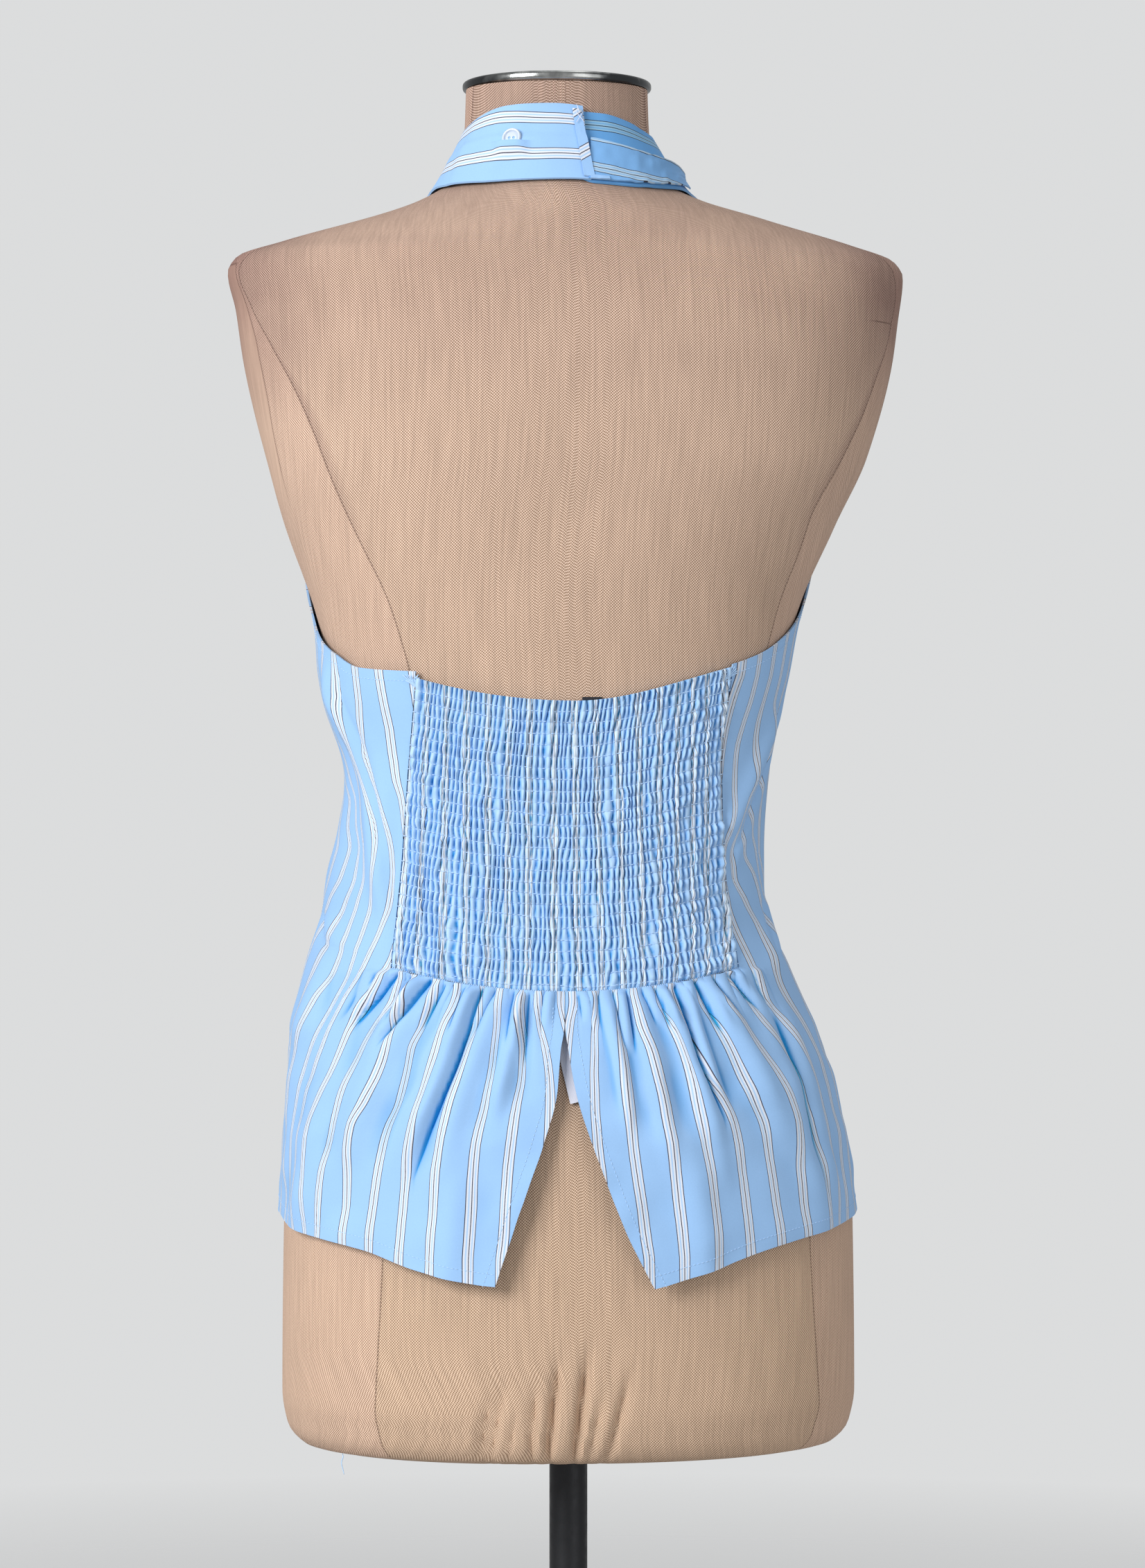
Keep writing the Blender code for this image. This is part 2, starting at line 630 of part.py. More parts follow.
def split_fans(side, sign, fraction, corner, count):
    """Fan angles of one row from the split's slanted edge up to the shirring's corner."""
    hem = rim_height(HEM, np.radians(18), side)
    height = SMOCK_BOTTOM_MIDDLE + (hem - SMOCK_BOTTOM_MIDDLE) * fraction
    edge_x = table_value(SPLIT_EDGES, "height", side, height)
    start = sign * float(back_angle(edge_x, height)) / (1 + FAN * fraction)
    return start + (corner - start) * np.linspace(0, 1, count + 1)[:-1]


def build_side(side, sign, collection):
    angles, heights, away, present, corner = side_grid(side, sign)
    drop = np.maximum(WAIST_HEIGHT - heights, 0)
    spread = 1 + FAN * np.clip(drop / PEPLUM_LENGTH, 0, 1)
    below = blend(0.0, 0.004, drop)
    rise = gather_rise(np.abs(angles) / spread, drop, corner) * below
    lift = SPLIT_LIFT * np.exp(-((np.abs(angles) / spread / SPLIT_LIFT_REACH) ** 2))
    lift *= blend(0.05, 0.15, drop)
    rise = rise + fold_rise(angles, heights) * blend(0, SEAM_HOLD, away) + lift
    inner = place(angles, heights, cloth_radius(angles, heights) + rise)
    outer = inner + upright_normals(inner) * WALL
    name = f"{side}_side_and_peplum"
    add_object(name, wall_mesh(name, inner, outer, present), COTTON, collection)


def build_front(collection):
    seam = SIDE_SEAM + SIDE_SEAM_HALF_GAP
    angles = np.linspace(seam, 2 * math.pi - seam, FRONT_COLUMNS)
    fractions = np.linspace(0, 1, FRONT_ROWS)
    angle, fraction = np.meshgrid(angles, fractions)
    on_right = angle < math.pi
    signed = np.where(on_right, angle, angle - 2 * math.pi)
    top = np.where(on_right, rim_height(TOP_EDGE, signed, "right"), rim_height(TOP_EDGE, signed, "left"))
    hem = np.where(on_right, rim_height(HEM, signed, "right"), rim_height(HEM, signed, "left"))
    height = top + (hem - top) * fraction
    turns = FRONT_FLUTES * (angle - seam) / (2 * math.pi - 2 * seam)
    grow = 1 - blend(FRONT_FLUTE_FULL, FRONT_FLUTE_TOP, height)
    rise = FRONT_FLUTE_HEIGHT * (0.5 - 0.5 * np.cos(2 * math.pi * turns)) * grow
    inner = place(signed, height, cloth_radius(signed, height) + rise)
    outer = inner + upright_normals(inner) * WALL
    add_object("front", wall_mesh("front", inner, outer), COTTON, collection)


def surface_tree(data):
    """A search tree of a mesh's surface, for what is laid on it."""
    mesh = bmesh.new()
    mesh.from_mesh(data)
    tree = BVHTree.FromBMesh(mesh)
    mesh.free()
    return tree


def strap_points(ends, sign, count):
    """Even stations of a strap's two edges, on smooth curves through the table."""
    keys = np.linspace(0, 1, len(STRAP))
    at = np.linspace(0, ends, count)
    columns = []
    for field in Station._fields:
        values = [getattr(station, field) for station in STRAP]
        rows = [Edge(key, value, 0) for key, value in zip(keys, values)]
        columns.append(table_value(rows, "height", "left", at))
    inner_out, inner_y, inner_z, outer_out, outer_y, outer_z, right_drop = columns
    inner_z = inner_z - right_drop * (sign > 0)
    inner_x = table_value(FORM, "height", "shift", inner_z) + sign * inner_out
    outer_x = table_value(FORM, "height", "shift", outer_z) + sign * outer_out
    inner = np.stack([inner_x, inner_y, inner_z], axis=-1)
    outer = np.stack([outer_x, outer_y, outer_z], axis=-1)
    return inner, outer, at


def laid_on(tree, point, gap):
    """The nearest point of a surface, moved out by the gap, and the way out."""
    found, normal, _, _ = tree.find_nearest(Vector(point))
    return np.array(found + normal * gap), np.array(normal)


def bridge_lift(points, ways):
    """How far each point of a laid band rises where the cloth spans a hollow edge to edge."""
    shares = np.linspace(0, 1, points.shape[1])[None, :, None]
    chords = points[:, :1] * (1 - shares) + points[:, -1:] * shares
    return np.maximum(np.sum((chords - points) * ways, axis=-1), 0)


def build_strap(side, sign, ends, gap, tree, collection):
    edge_in, edge_out, at = strap_points(ends, sign, STRAP_ROWS)
    gaps = STRAP_GAP + (gap - STRAP_GAP) * blend(*STRAP_CROSSING, at)
    inner = np.zeros((STRAP_ROWS, STRAP_COLUMNS, 3))
    ways = np.zeros(inner.shape)
    for row in range(STRAP_ROWS):
        for column, share in enumerate(np.linspace(0, 1, STRAP_COLUMNS)):
            point = edge_in[row] * (1 - share) + edge_out[row] * share
            inner[row, column], ways[row, column] = laid_on(tree, point, gaps[row])
    inner += ways * bridge_lift(inner, ways)[..., None]
    outer = inner + ways * WALL
    name = f"{side}_strap"
    return add_object(name, wall_mesh(name, inner, outer), COTTON, collection)


def build_button(strap, collection, cutters):
    """A two-hole button that lies on the upper strap, turned to face out of it."""
    rim = BUTTON_THICKNESS
    profile = [
        (0, rim * 0.62),
        (BUTTON_RADIUS * 0.62, rim * 0.62),
        (BUTTON_RADIUS * 0.74, rim * 0.95),
        (BUTTON_RADIUS * 0.90, rim),
        (BUTTON_RADIUS, rim * 0.72),
        (BUTTON_RADIUS, rim * 0.30),
        (BUTTON_RADIUS * 0.90, 0),
        (0, 0),
    ]
    button = turned_object("button", profile, WHITE_RESIN, collection, 24)
    start = (BUTTON_X, BUTTON_REACH_Y, BUTTON_Z)
    point, way = laid_on(surface_tree(strap.data), start, BUTTON_CLEAR)
    turn = Vector(way).to_track_quat("Z", "Y").to_matrix().to_4x4()
    button.matrix_world = Matrix.Translation(point) @ turn
    for offset in (-0.5, 0.5):
        bpy.ops.mesh.primitive_cylinder_add(
            vertices=12, radius=BUTTON_HOLE_RADIUS, depth=4 * BUTTON_THICKNESS
        )
        hole = bpy.context.object
        hole.name = f"button_hole_{offset}"
        for owner in list(hole.users_collection):
            owner.objects.unlink(hole)
        cutters.objects.link(hole)
        hole.matrix_world = button.matrix_world @ Matrix.Translation(
            (offset * BUTTON_HOLE_APART, 0, 0)
        )
        hole.hide_render = True
        hole.display_type = "WIRE"
        cut = button.modifiers.new("hole", "BOOLEAN")
        cut.operation = "DIFFERENCE"
        cut.object = hole


def build_care_label(collection):
    """A plain strip that hangs from the waist seam, behind the split."""
    across, along = np.meshgrid(np.linspace(-0.5, 0.5, 3), np.linspace(0, 1, 8))
    sideways = across * CARE_LABEL_WIDTH
    down = along * CARE_LABEL_LENGTH
    x = CARE_LABEL_X + sideways * math.cos(CARE_LABEL_TILT) + down * math.sin(CARE_LABEL_TILT)
    z = CARE_LABEL_TOP - down * math.cos(CARE_LABEL_TILT) + sideways * math.sin(CARE_LABEL_TILT)
    angles = back_angle(x, z)
    points = place(angles, z, form_radius(angles, z) + LABEL_GAP)
    outer = points + upright_normals(points) * CARE_LABEL_THICKNESS
    mesh = wall_mesh("care_label", points, outer)
    add_object("care_label", mesh, WHITE_SATIN, collection)


def build_size_label(collection):
    """A plain black strip just inside the shirring's top edge."""
    top = SMOCK_TOP_MIDDLE + SIZE_LABEL_RISE
    across, down = np.meshgrid(np.linspace(0, 1, 4), np.linspace(0, 1, 4))
    x = SIZE_LABEL_LEFT + SIZE_LABEL_WIDTH * across
    z = top - (SIZE_LABEL_RISE + SIZE_LABEL_DROP) * down
    angles = back_angle(x, z)
    points = place(angles, z, form_radius(angles, z) + LABEL_GAP)
    outer = points + upright_normals(points) * SIZE_LABEL_THICKNESS
    mesh = wall_mesh("size_label", points, outer)
    add_object("size_label", mesh, BLACK_SATIN, collection)


def main():
    clear_scene()
    collection = make_collection("halter_top_on_form")
    cutters = make_collection("cutters")
    build_stand(collection)
    tree = surface_tree(form_mesh())
    build_front(collection)
    build_side("left", -1, collection)
    build_side("right", 1, collection)
    build_smocked_back(collection)
    build_strap("right", 1, RIGHT_STRAP_END, UNDER_GAP, tree, collection)
    upper = build_strap("left", -1, LEFT_STRAP_END, OVER_GAP, tree, collection)
    build_button(upper, collection, cutters)
    build_care_label(collection)
    build_size_label(collection)


main()
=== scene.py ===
"""Looks of a striped cotton halter top with a shirred back and a split peplum, on a dress form.

Metres, +Z up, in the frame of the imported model: the origin is under the pole, the back of the
top faces -Y and +X is the wearer's right. Angles run round the pole from the back (0) towards
+X. Every cloth piece follows the same surface that its solid was made on, with finer gathers,
creases and shirring, and carries a map called cloth, in metres of cloth, for its stripes.
"""

from collections.abc import Mapping, Sequence
from dataclasses import dataclass, field
from enum import Enum
import logging
import math
from typing import NamedTuple

import bpy
from bpy.types import ID, Material, Mesh, Node, NodeSocket, NodeTree, Object
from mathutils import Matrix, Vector
from mathutils.bvhtree import BVHTree
import numpy as np
from numpy.typing import NDArray


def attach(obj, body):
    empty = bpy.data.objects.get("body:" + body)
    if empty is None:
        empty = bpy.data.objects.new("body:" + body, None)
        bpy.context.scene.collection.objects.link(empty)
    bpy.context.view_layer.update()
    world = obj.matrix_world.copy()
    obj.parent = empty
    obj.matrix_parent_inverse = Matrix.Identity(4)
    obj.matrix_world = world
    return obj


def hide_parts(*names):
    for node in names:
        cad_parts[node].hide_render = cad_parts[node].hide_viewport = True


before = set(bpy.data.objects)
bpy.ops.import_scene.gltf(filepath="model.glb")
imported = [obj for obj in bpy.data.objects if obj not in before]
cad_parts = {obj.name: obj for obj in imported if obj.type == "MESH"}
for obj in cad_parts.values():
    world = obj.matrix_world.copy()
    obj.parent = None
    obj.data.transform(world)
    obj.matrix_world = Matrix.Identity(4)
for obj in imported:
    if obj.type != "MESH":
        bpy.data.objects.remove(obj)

Grid = NDArray[np.float64]
Face = Sequence[int]
Point = tuple[float, float, float]
Outline = list[tuple[float, float]]
Colour = tuple[float, float, float, float]
StripeLine = tuple[float, ...]
LOG = logging.getLogger("halter_top")
CLOTH_MAP = "cloth"
SEAM_MAP = "seams"
PLATE_MAP = "plate"
# Map of painted shade, above 0, and of painted highlight, below 0, on the cotton.
PAINTED_LIGHT_MAP = "depth"


class Slot(Enum):
    """The record's material slots."""

    COTTON = "striped_cotton"
    LINEN = "linen"
    RESIN = "white_resin"
    WHITE_LABEL = "white_satin"
    BLACK_LABEL = "black_satin"
    CHROME = "dark_chrome"
    BLACK_METAL = "black_metal"


class Side(Enum):
    """The two halves of the top, as the photographed back shows them."""

    LEFT = -1
    RIGHT = 1

    @property
    def word(self) -> str:
        """The side's name in a piece's name."""
        return self.name.lower()


# ---------------------------------------------------------------- tables shared with the solids


class Section(NamedTuple):
    """A level section of the form: a superellipse, squarer as its power grows."""

    height: float
    shift: float
    half_width: float
    back: float
    front: float
    power: float


class Ease(NamedTuple):
    """How far the cloth's inside stands off the form at a height."""

    height: float
    left: float
    right: float
    back: float
    front: float


class Edge(NamedTuple):
    """Distances of a pair of edges from the middle plane at a height."""

    height: float
    left: float
    right: float


class Rim(NamedTuple):
    """Heights of an edge, by degrees round from the back."""

    angle: float
    left: float
    right: float


class Fold(NamedTuple):
    """A soft ridge, or a trough where its rise is negative, in degrees and metres."""

    angle: float
    height: float
    to_angle: float
    to_height: float
    width: float
    rise: float


class Crease(NamedTuple):
    """A pinched valley through three points, with the cloth rolled up along one side of it."""

    angle: float
    height: float
    mid_angle: float
    mid_height: float
    to_angle: float
    to_height: float
    width: float
    depth: float
    roll: float


class SeamLine(NamedTuple):
    """Where the form cover's seams and the arm plate's edges lie, in degrees from the back."""

    height: float
    back: float
    front: float
    plate: float
    plate_front: float


class Station(NamedTuple):
    """The two edges of a neck strap at one place along it."""

    inner_out: float
    inner_y: float
    inner_z: float
    outer_out: float
    outer_y: float
    outer_z: float
    right_drop: float


def table_rows(kind: type[NamedTuple], *values: tuple[float, ...]) -> tuple[NamedTuple, ...]:
    """A table with a row of the given kind for each tuple of values."""
    return tuple(kind(*row) for row in values)


FORM = table_rows(
    Section,
    (0.242, 0.000, 0.148, 0.104, 0.086, 2.2),
    (0.245, 0.000, 0.161, 0.115, 0.096, 2.2),
    (0.256, 0.000, 0.170, 0.122, 0.103, 2.2),
    (0.275, 0.000, 0.173, 0.125, 0.106, 2.3),
    (0.377, 0.000, 0.172, 0.123, 0.104, 2.3),
    (0.431, -0.001, 0.164, 0.123, 0.103, 2.3),
    (0.470, -0.001, 0.155, 0.117, 0.101, 2.3),
    (0.505, -0.002, 0.143, 0.108, 0.097, 2.3),
    (0.530, -0.002, 0.133, 0.100, 0.094, 2.3),
    (0.568, -0.003, 0.119, 0.090, 0.090, 2.3),
    (0.600, -0.003, 0.119, 0.086, 0.091, 2.3),
    (0.654, -0.004, 0.124, 0.086, 0.101, 2.3),
    (0.704, -0.006, 0.137, 0.090, 0.114, 2.3),
    (0.744, -0.007, 0.146, 0.095, 0.122, 2.3),
    (0.795, -0.005, 0.166, 0.100, 0.121, 2.4),
    (0.838, -0.001, 0.182, 0.103, 0.112, 2.5),
    (0.892, 0.000, 0.196, 0.103, 0.098, 2.5),
    (0.925, 0.000, 0.201, 0.098, 0.088, 2.4),
    (0.948, -0.001, 0.205, 0.091, 0.078, 2.2),
    (0.957, -0.001, 0.200, 0.087, 0.074, 2.1),
    (0.966, 0.000, 0.175, 0.083, 0.069, 2.0),
    (0.981, 0.000, 0.122, 0.076, 0.063, 2.0),
    (0.992, -0.004, 0.087, 0.070, 0.060, 2.0),
    (1.001, -0.006, 0.070, 0.063, 0.059, 2.0),
    (1.014, -0.006, 0.060, 0.055, 0.059, 2.0),
    (1.034, -0.007, 0.056, 0.050, 0.061, 2.0),
    (1.060, -0.007, 0.055, 0.047, 0.062, 2.0),
)
EASE = table_rows(
    Ease,
    (0.330, 0.0013, 0.0013, 0.0110, 0.0120),
    (0.380, 0.0013, 0.0013, 0.0095, 0.0110),
    (0.424, 0.0045, 0.0020, 0.0070, 0.0095),
    (0.466, 0.0110, 0.0020, 0.0060, 0.0095),
    (0.505, 0.0195, 0.0020, 0.0040, 0.0110),
    (0.530, 0.0235, 0.0015, 0.0022, 0.0120),
    (0.555, 0.0260, 0.0012, 0.0030, 0.0130),
    (0.583, 0.0235, 0.0013, 0.0038, 0.0120),
    (0.613, 0.0158, 0.0013, 0.0036, 0.0090),
    (0.650, 0.0076, 0.0013, 0.0030, 0.0060),
    (0.681, 0.0092, 0.0013, 0.0022, 0.0040),
    (0.704, 0.0070, 0.0014, 0.0026, 0.0030),
    (0.744, 0.0015, 0.0015, 0.0026, 0.0022),
    (0.850, 0.0016, 0.0016, 0.0016, 0.0020),
)
SMOCK_EDGES = table_rows(
    Edge,
    (0.520, -0.1052, 0.1020),
    (0.590, -0.0980, 0.0925),
    (0.650, -0.0940, 0.0905),
    (0.705, -0.0895, 0.0965),
)
TOP_EDGE = table_rows(
    Rim,
    (40, 0.7060, 0.7052),
    (50, 0.7070, 0.7068),
    (60, 0.7090, 0.7120),
    (69, 0.7180, 0.7190),
    (78, 0.7280, 0.7300),
    (88, 0.7420, 0.7450),
    (102, 0.7700, 0.7720),
    (118, 0.8080, 0.8080),
    (133, 0.8350, 0.8350),
    (180, 0.8350, 0.8350),
)
HEM = table_rows(
    Rim,
    (0, 0.3470, 0.3410),
    (18, 0.3490, 0.3455),
    (35, 0.3570, 0.3560),
    (48, 0.3680, 0.3660),
    (62, 0.3740, 0.3740),
    (85, 0.3830, 0.3830),
    (130, 0.3920, 0.3920),
    (180, 0.3960, 0.3960),
)
SPLIT_EDGES = table_rows(
    Edge,
    (0.340, -0.0445, 0.0520),
    (0.385, -0.0300, 0.0315),
    (0.432, -0.0140, 0.0140),
    (0.460, -0.0065, 0.0050),
    (0.485, -0.0044, 0.0002),
    (0.500, -0.0022, -0.0018),
    (0.520, -0.0022, -0.0018),
)
LEFT_SEAMS = table_rows(
    SeamLine,
    (0.242, 47.0, 138.0, 80.0, 104.0),
    (0.304, 45.9, 139.0, 80.0, 104.0),
    (0.361, 45.1, 140.0, 80.0, 104.0),
    (0.520, 44.0, 141.0, 80.0, 104.0),
    (0.600, 47.0, 140.0, 80.0, 104.0),
    (0.700, 47.5, 138.0, 76.0, 104.0),
    (0.730, 48.9, 137.0, 75.0, 104.0),
    (0.748, 50.4, 136.0, 74.0, 104.0),
    (0.781, 54.5, 135.0, 73.2, 103.0),
    (0.817, 58.5, 134.0, 73.4, 104.0),
    (0.847, 61.3, 131.0, 72.8, 106.0),
    (0.872, 64.1, 128.0, 72.0, 107.0),
    (0.899, 68.3, 124.0, 72.5, 107.0),
    (0.923, 73.6, 119.0, 75.2, 105.0),
    (0.946, 77.0, 112.0, 78.1, 102.0),
    (0.985, 77.0, 112.0, 80.0, 102.0),
    (1.034, 69.0, 140.0, 80.0, 102.0),
    (1.060, 68.0, 140.0, 80.0, 102.0),
)
RIGHT_SEAMS = table_rows(
    SeamLine,
    (0.242, 66.6, 138.0, 90.0, 114.0),
    (0.369, 63.5, 139.0, 90.0, 114.0),
    (0.520, 62.0, 141.0, 90.0, 114.0),
    (0.600, 66.0, 140.0, 90.0, 114.0),
    (0.700, 70.0, 138.0, 90.0, 114.0),
    (0.739, 72.4, 137.0, 90.0, 114.0),
    (0.770, 73.3, 136.0, 90.0, 114.0),
    (0.802, 72.4, 135.0, 90.0, 114.0),
    (0.827, 73.9, 134.0, 89.0, 115.0),
    (0.861, 77.9, 130.0, 88.0, 117.0),
    (0.887, 80.3, 126.0, 88.0, 118.0),
    (0.910, 83.4, 122.0, 89.0, 117.0),
    (0.940, 86.0, 115.0, 91.0, 113.0),
    (0.985, 86.0, 115.0, 92.0, 113.0),
    (1.034, 78.0, 140.0, 92.0, 113.0),
    (1.060, 78.0, 140.0, 92.0, 113.0),
)
PLATE_FOOT = 0.796
PLATE_TOP = 0.9515
STRAP = table_rows(
    Station,
    (0.068, 0.107, 0.8368, 0.112, 0.097, 0.8368, 0.0),
    (0.066, 0.099, 0.8800, 0.107, 0.091, 0.8800, 0.0),
    (0.063, 0.086, 0.9280, 0.102, 0.080, 0.9260, 0.0),
    (0.060, 0.070, 0.9680, 0.096, 0.062, 0.9580, 0.0),
    (0.058, 0.042, 0.9980, 0.086, 0.032, 0.9830, 0.0),
    (0.056, 0.008, 1.0240, 0.077, -0.004, 0.9955, 0.0),
    (0.049, -0.028, 1.0375, 0.065, -0.038, 0.9962, 0.003),
    (0.028, -0.046, 1.0450, 0.040, -0.061, 0.9975, 0.0045),
    (0.003, -0.051, 1.0455, 0.006, -0.069, 0.9988, 0.004),
    (-0.020, -0.048, 1.0435, -0.026, -0.066, 0.9985, 0.004),
    (-0.040, -0.038, 1.0400, -0.052, -0.052, 0.9975, 0.004),
)
FORM_TURN = math.radians(5.5)
WALL = 0.0012
SEAM_GAP = 0.0003
SIDE_SEAM = math.radians(97)
SIDE_SEAM_HALF_GAP = math.radians(0.06)
WAIST_HEIGHT = 0.532
SIDE_TOP = 0.708
SMOCK_TOP_MIDDLE = 0.689
SMOCK_BOTTOM_MIDDLE = 0.519
SMOCK_DIP = 0.0125
SMOCK_HALF = 0.100
SMOCK_SIDE_GAP = 0.0006
SMOCK_RUFFLE = 0.0065
FAN = 0.27
PEPLUM_LENGTH = 0.172
STRIPE_REPEAT = 0.021
HEM_STITCH = 0.0073
TOP_STITCH = 0.0060
THREAD_LIFT = 0.0001

# ---------------------------------------------------------------- folds and stripes of the cloth

FOLDS = table_rows(
    Fold,
    (-72, 0.700, -60, 0.636, 10, 0.0050),
    (-60, 0.636, -51, 0.566, 8, 0.0060),
    (-72, 0.640, -66, 0.530, 11, -0.0045),
    (-66, 0.560, -74, 0.470, 11, 0.0040),
    (84, 0.672, 61, 0.592, 9, 0.0045),
    (82, 0.566, 72, 0.530, 10, 0.0035),
    (-20, 0.515, -30, 0.415, 6, 0.0040),
    (-29, 0.515, -38, 0.430, 6, 0.0038),
    (-13, 0.515, -17, 0.455, 4, 0.0045),
    (-40, 0.520, -52, 0.420, 9, 0.0060),
    (-60, 0.450, -66, 0.380, 11, 0.0050),
    (-26, 0.420, -28, 0.345, 8, 0.0045),
    (13, 0.515, 16, 0.450, 4, 0.0050),
    (22, 0.515, 26, 0.430, 6, 0.0050),
    (31, 0.515, 38, 0.425, 6, 0.0048),
    (46, 0.520, 54, 0.440, 8, 0.0055),
    (59, 0.490, 65, 0.385, 11, 0.0055),
    (31, 0.430, 34, 0.350, 9, 0.0040),
)
FOOT_PUCKERS = table_rows(
    Fold,
    (-24.0, 0.244, -20.2, 0.280, 2.0, -0.0022),
    (-21.6, 0.244, -17.0, 0.284, 2.0, -0.0022),
    (-17.0, 0.244, -14.0, 0.270, 1.8, -0.0014),
    (-10.5, 0.244, -8.8, 0.284, 2.2, -0.0020),
    (-5.7, 0.244, -3.0, 0.296, 2.4, -0.0034),
    (1.6, 0.244, 5.0, 0.302, 2.4, -0.0034),
    (5.6, 0.244, 8.8, 0.280, 2.0, -0.0016),
    (10.9, 0.244, 16.2, 0.292, 2.4, -0.0022),
)
CREASES = table_rows(
    Crease,
    (-6.5, 0.519, -6.8, 0.508, -7.0, 0.498, 0.0016, 0.0018, 1),
    (-10.8, 0.519, -10.9, 0.500, -11.0, 0.478, 0.0018, 0.0030, -1),
    (-15.2, 0.520, -15.3, 0.504, -15.6, 0.487, 0.0018, 0.0028, 1),
    (-20.4, 0.521, -22.4, 0.507, -24.6, 0.490, 0.0020, 0.0032, -1),
    (-23.7, 0.522, -25.7, 0.497, -36.1, 0.411, 0.0024, 0.0052, -1),
    (-28.0, 0.523, -28.8, 0.510, -29.5, 0.495, 0.0018, 0.0030, 1),
    (-33.0, 0.525, -34.6, 0.512, -36.2, 0.498, 0.0018, 0.0026, -1),
    (-37.5, 0.527, -40.5, 0.508, -45.5, 0.487, 0.0022, 0.0046, -1),
    (-41.9, 0.529, -43.2, 0.514, -44.5, 0.499, 0.0022, 0.0048, 1),
    (-45.6, 0.531, -49.0, 0.515, -53.5, 0.498, 0.0024, 0.0040, -1),
    (4.5, 0.519, 4.9, 0.510, 5.2, 0.502, 0.0016, 0.0020, 1),
    (9.8, 0.519, 10.0, 0.508, 10.3, 0.498, 0.0016, 0.0018, -1),
    (15.4, 0.520, 15.7, 0.505, 16.2, 0.487, 0.0018, 0.0038, 1),
    (19.0, 0.520, 19.1, 0.504, 19.4, 0.485, 0.0020, 0.0034, -1),
    (24.0, 0.521, 25.0, 0.511, 26.0, 0.500, 0.0018, 0.0026, 1),
    (28.0, 0.523, 29.0, 0.510, 30.2, 0.497, 0.0018, 0.0030, 1),
    (31.5, 0.524, 32.3, 0.513, 33.0, 0.502, 0.0016, 0.0026, -1),
    (34.5, 0.525, 35.8, 0.482, 39.9, 0.444, 0.0022, 0.0052, 1),
    (40.8, 0.527, 42.0, 0.513, 44.0, 0.495, 0.0020, 0.0034, 1),
    (46.5, 0.530, 48.0, 0.517, 50.5, 0.503, 0.0020, 0.0030, -1),
    (51.0, 0.532, 54.0, 0.519, 57.5, 0.506, 0.0022, 0.0030, 1),
    (62.6, 0.492, 62.8, 0.447, 67.7, 0.383, 0.0050, 0.0034, 1),
    (-68.3, 0.692, -60.0, 0.636, -50.0, 0.566, 0.0045, 0.0040, -1),
    (84.0, 0.672, 71.5, 0.630, 60.7, 0.592, 0.0040, 0.0050, -1),
    (81.0, 0.566, 77.6, 0.551, 74.3, 0.537, 0.0030, 0.0024, 1),
    (-82.0, 0.560, -76.0, 0.548, -68.0, 0.541, 0.0040, 0.0026, 1),
)
# Heights at which the stripes were traced. Each row of a stripe table is one woven stripe, from the
# middle outwards, in degrees round from the back at each of these heights.
STRIPE_HEIGHTS = (
    0.705, 0.690, 0.675, 0.660, 0.645, 0.630, 0.615, 0.600, 0.585, 0.570, 0.555, 0.540,
    0.528, 0.514, 0.500, 0.485, 0.470, 0.455, 0.440, 0.415, 0.390, 0.365,
)  # fmt: skip


def below_waist(*angles: float) -> StripeLine:
    """Angles of a stripe that starts at the shirring's foot, held upright above it."""
    return (angles[0],) * (len(STRIPE_HEIGHTS) - len(angles)) + angles


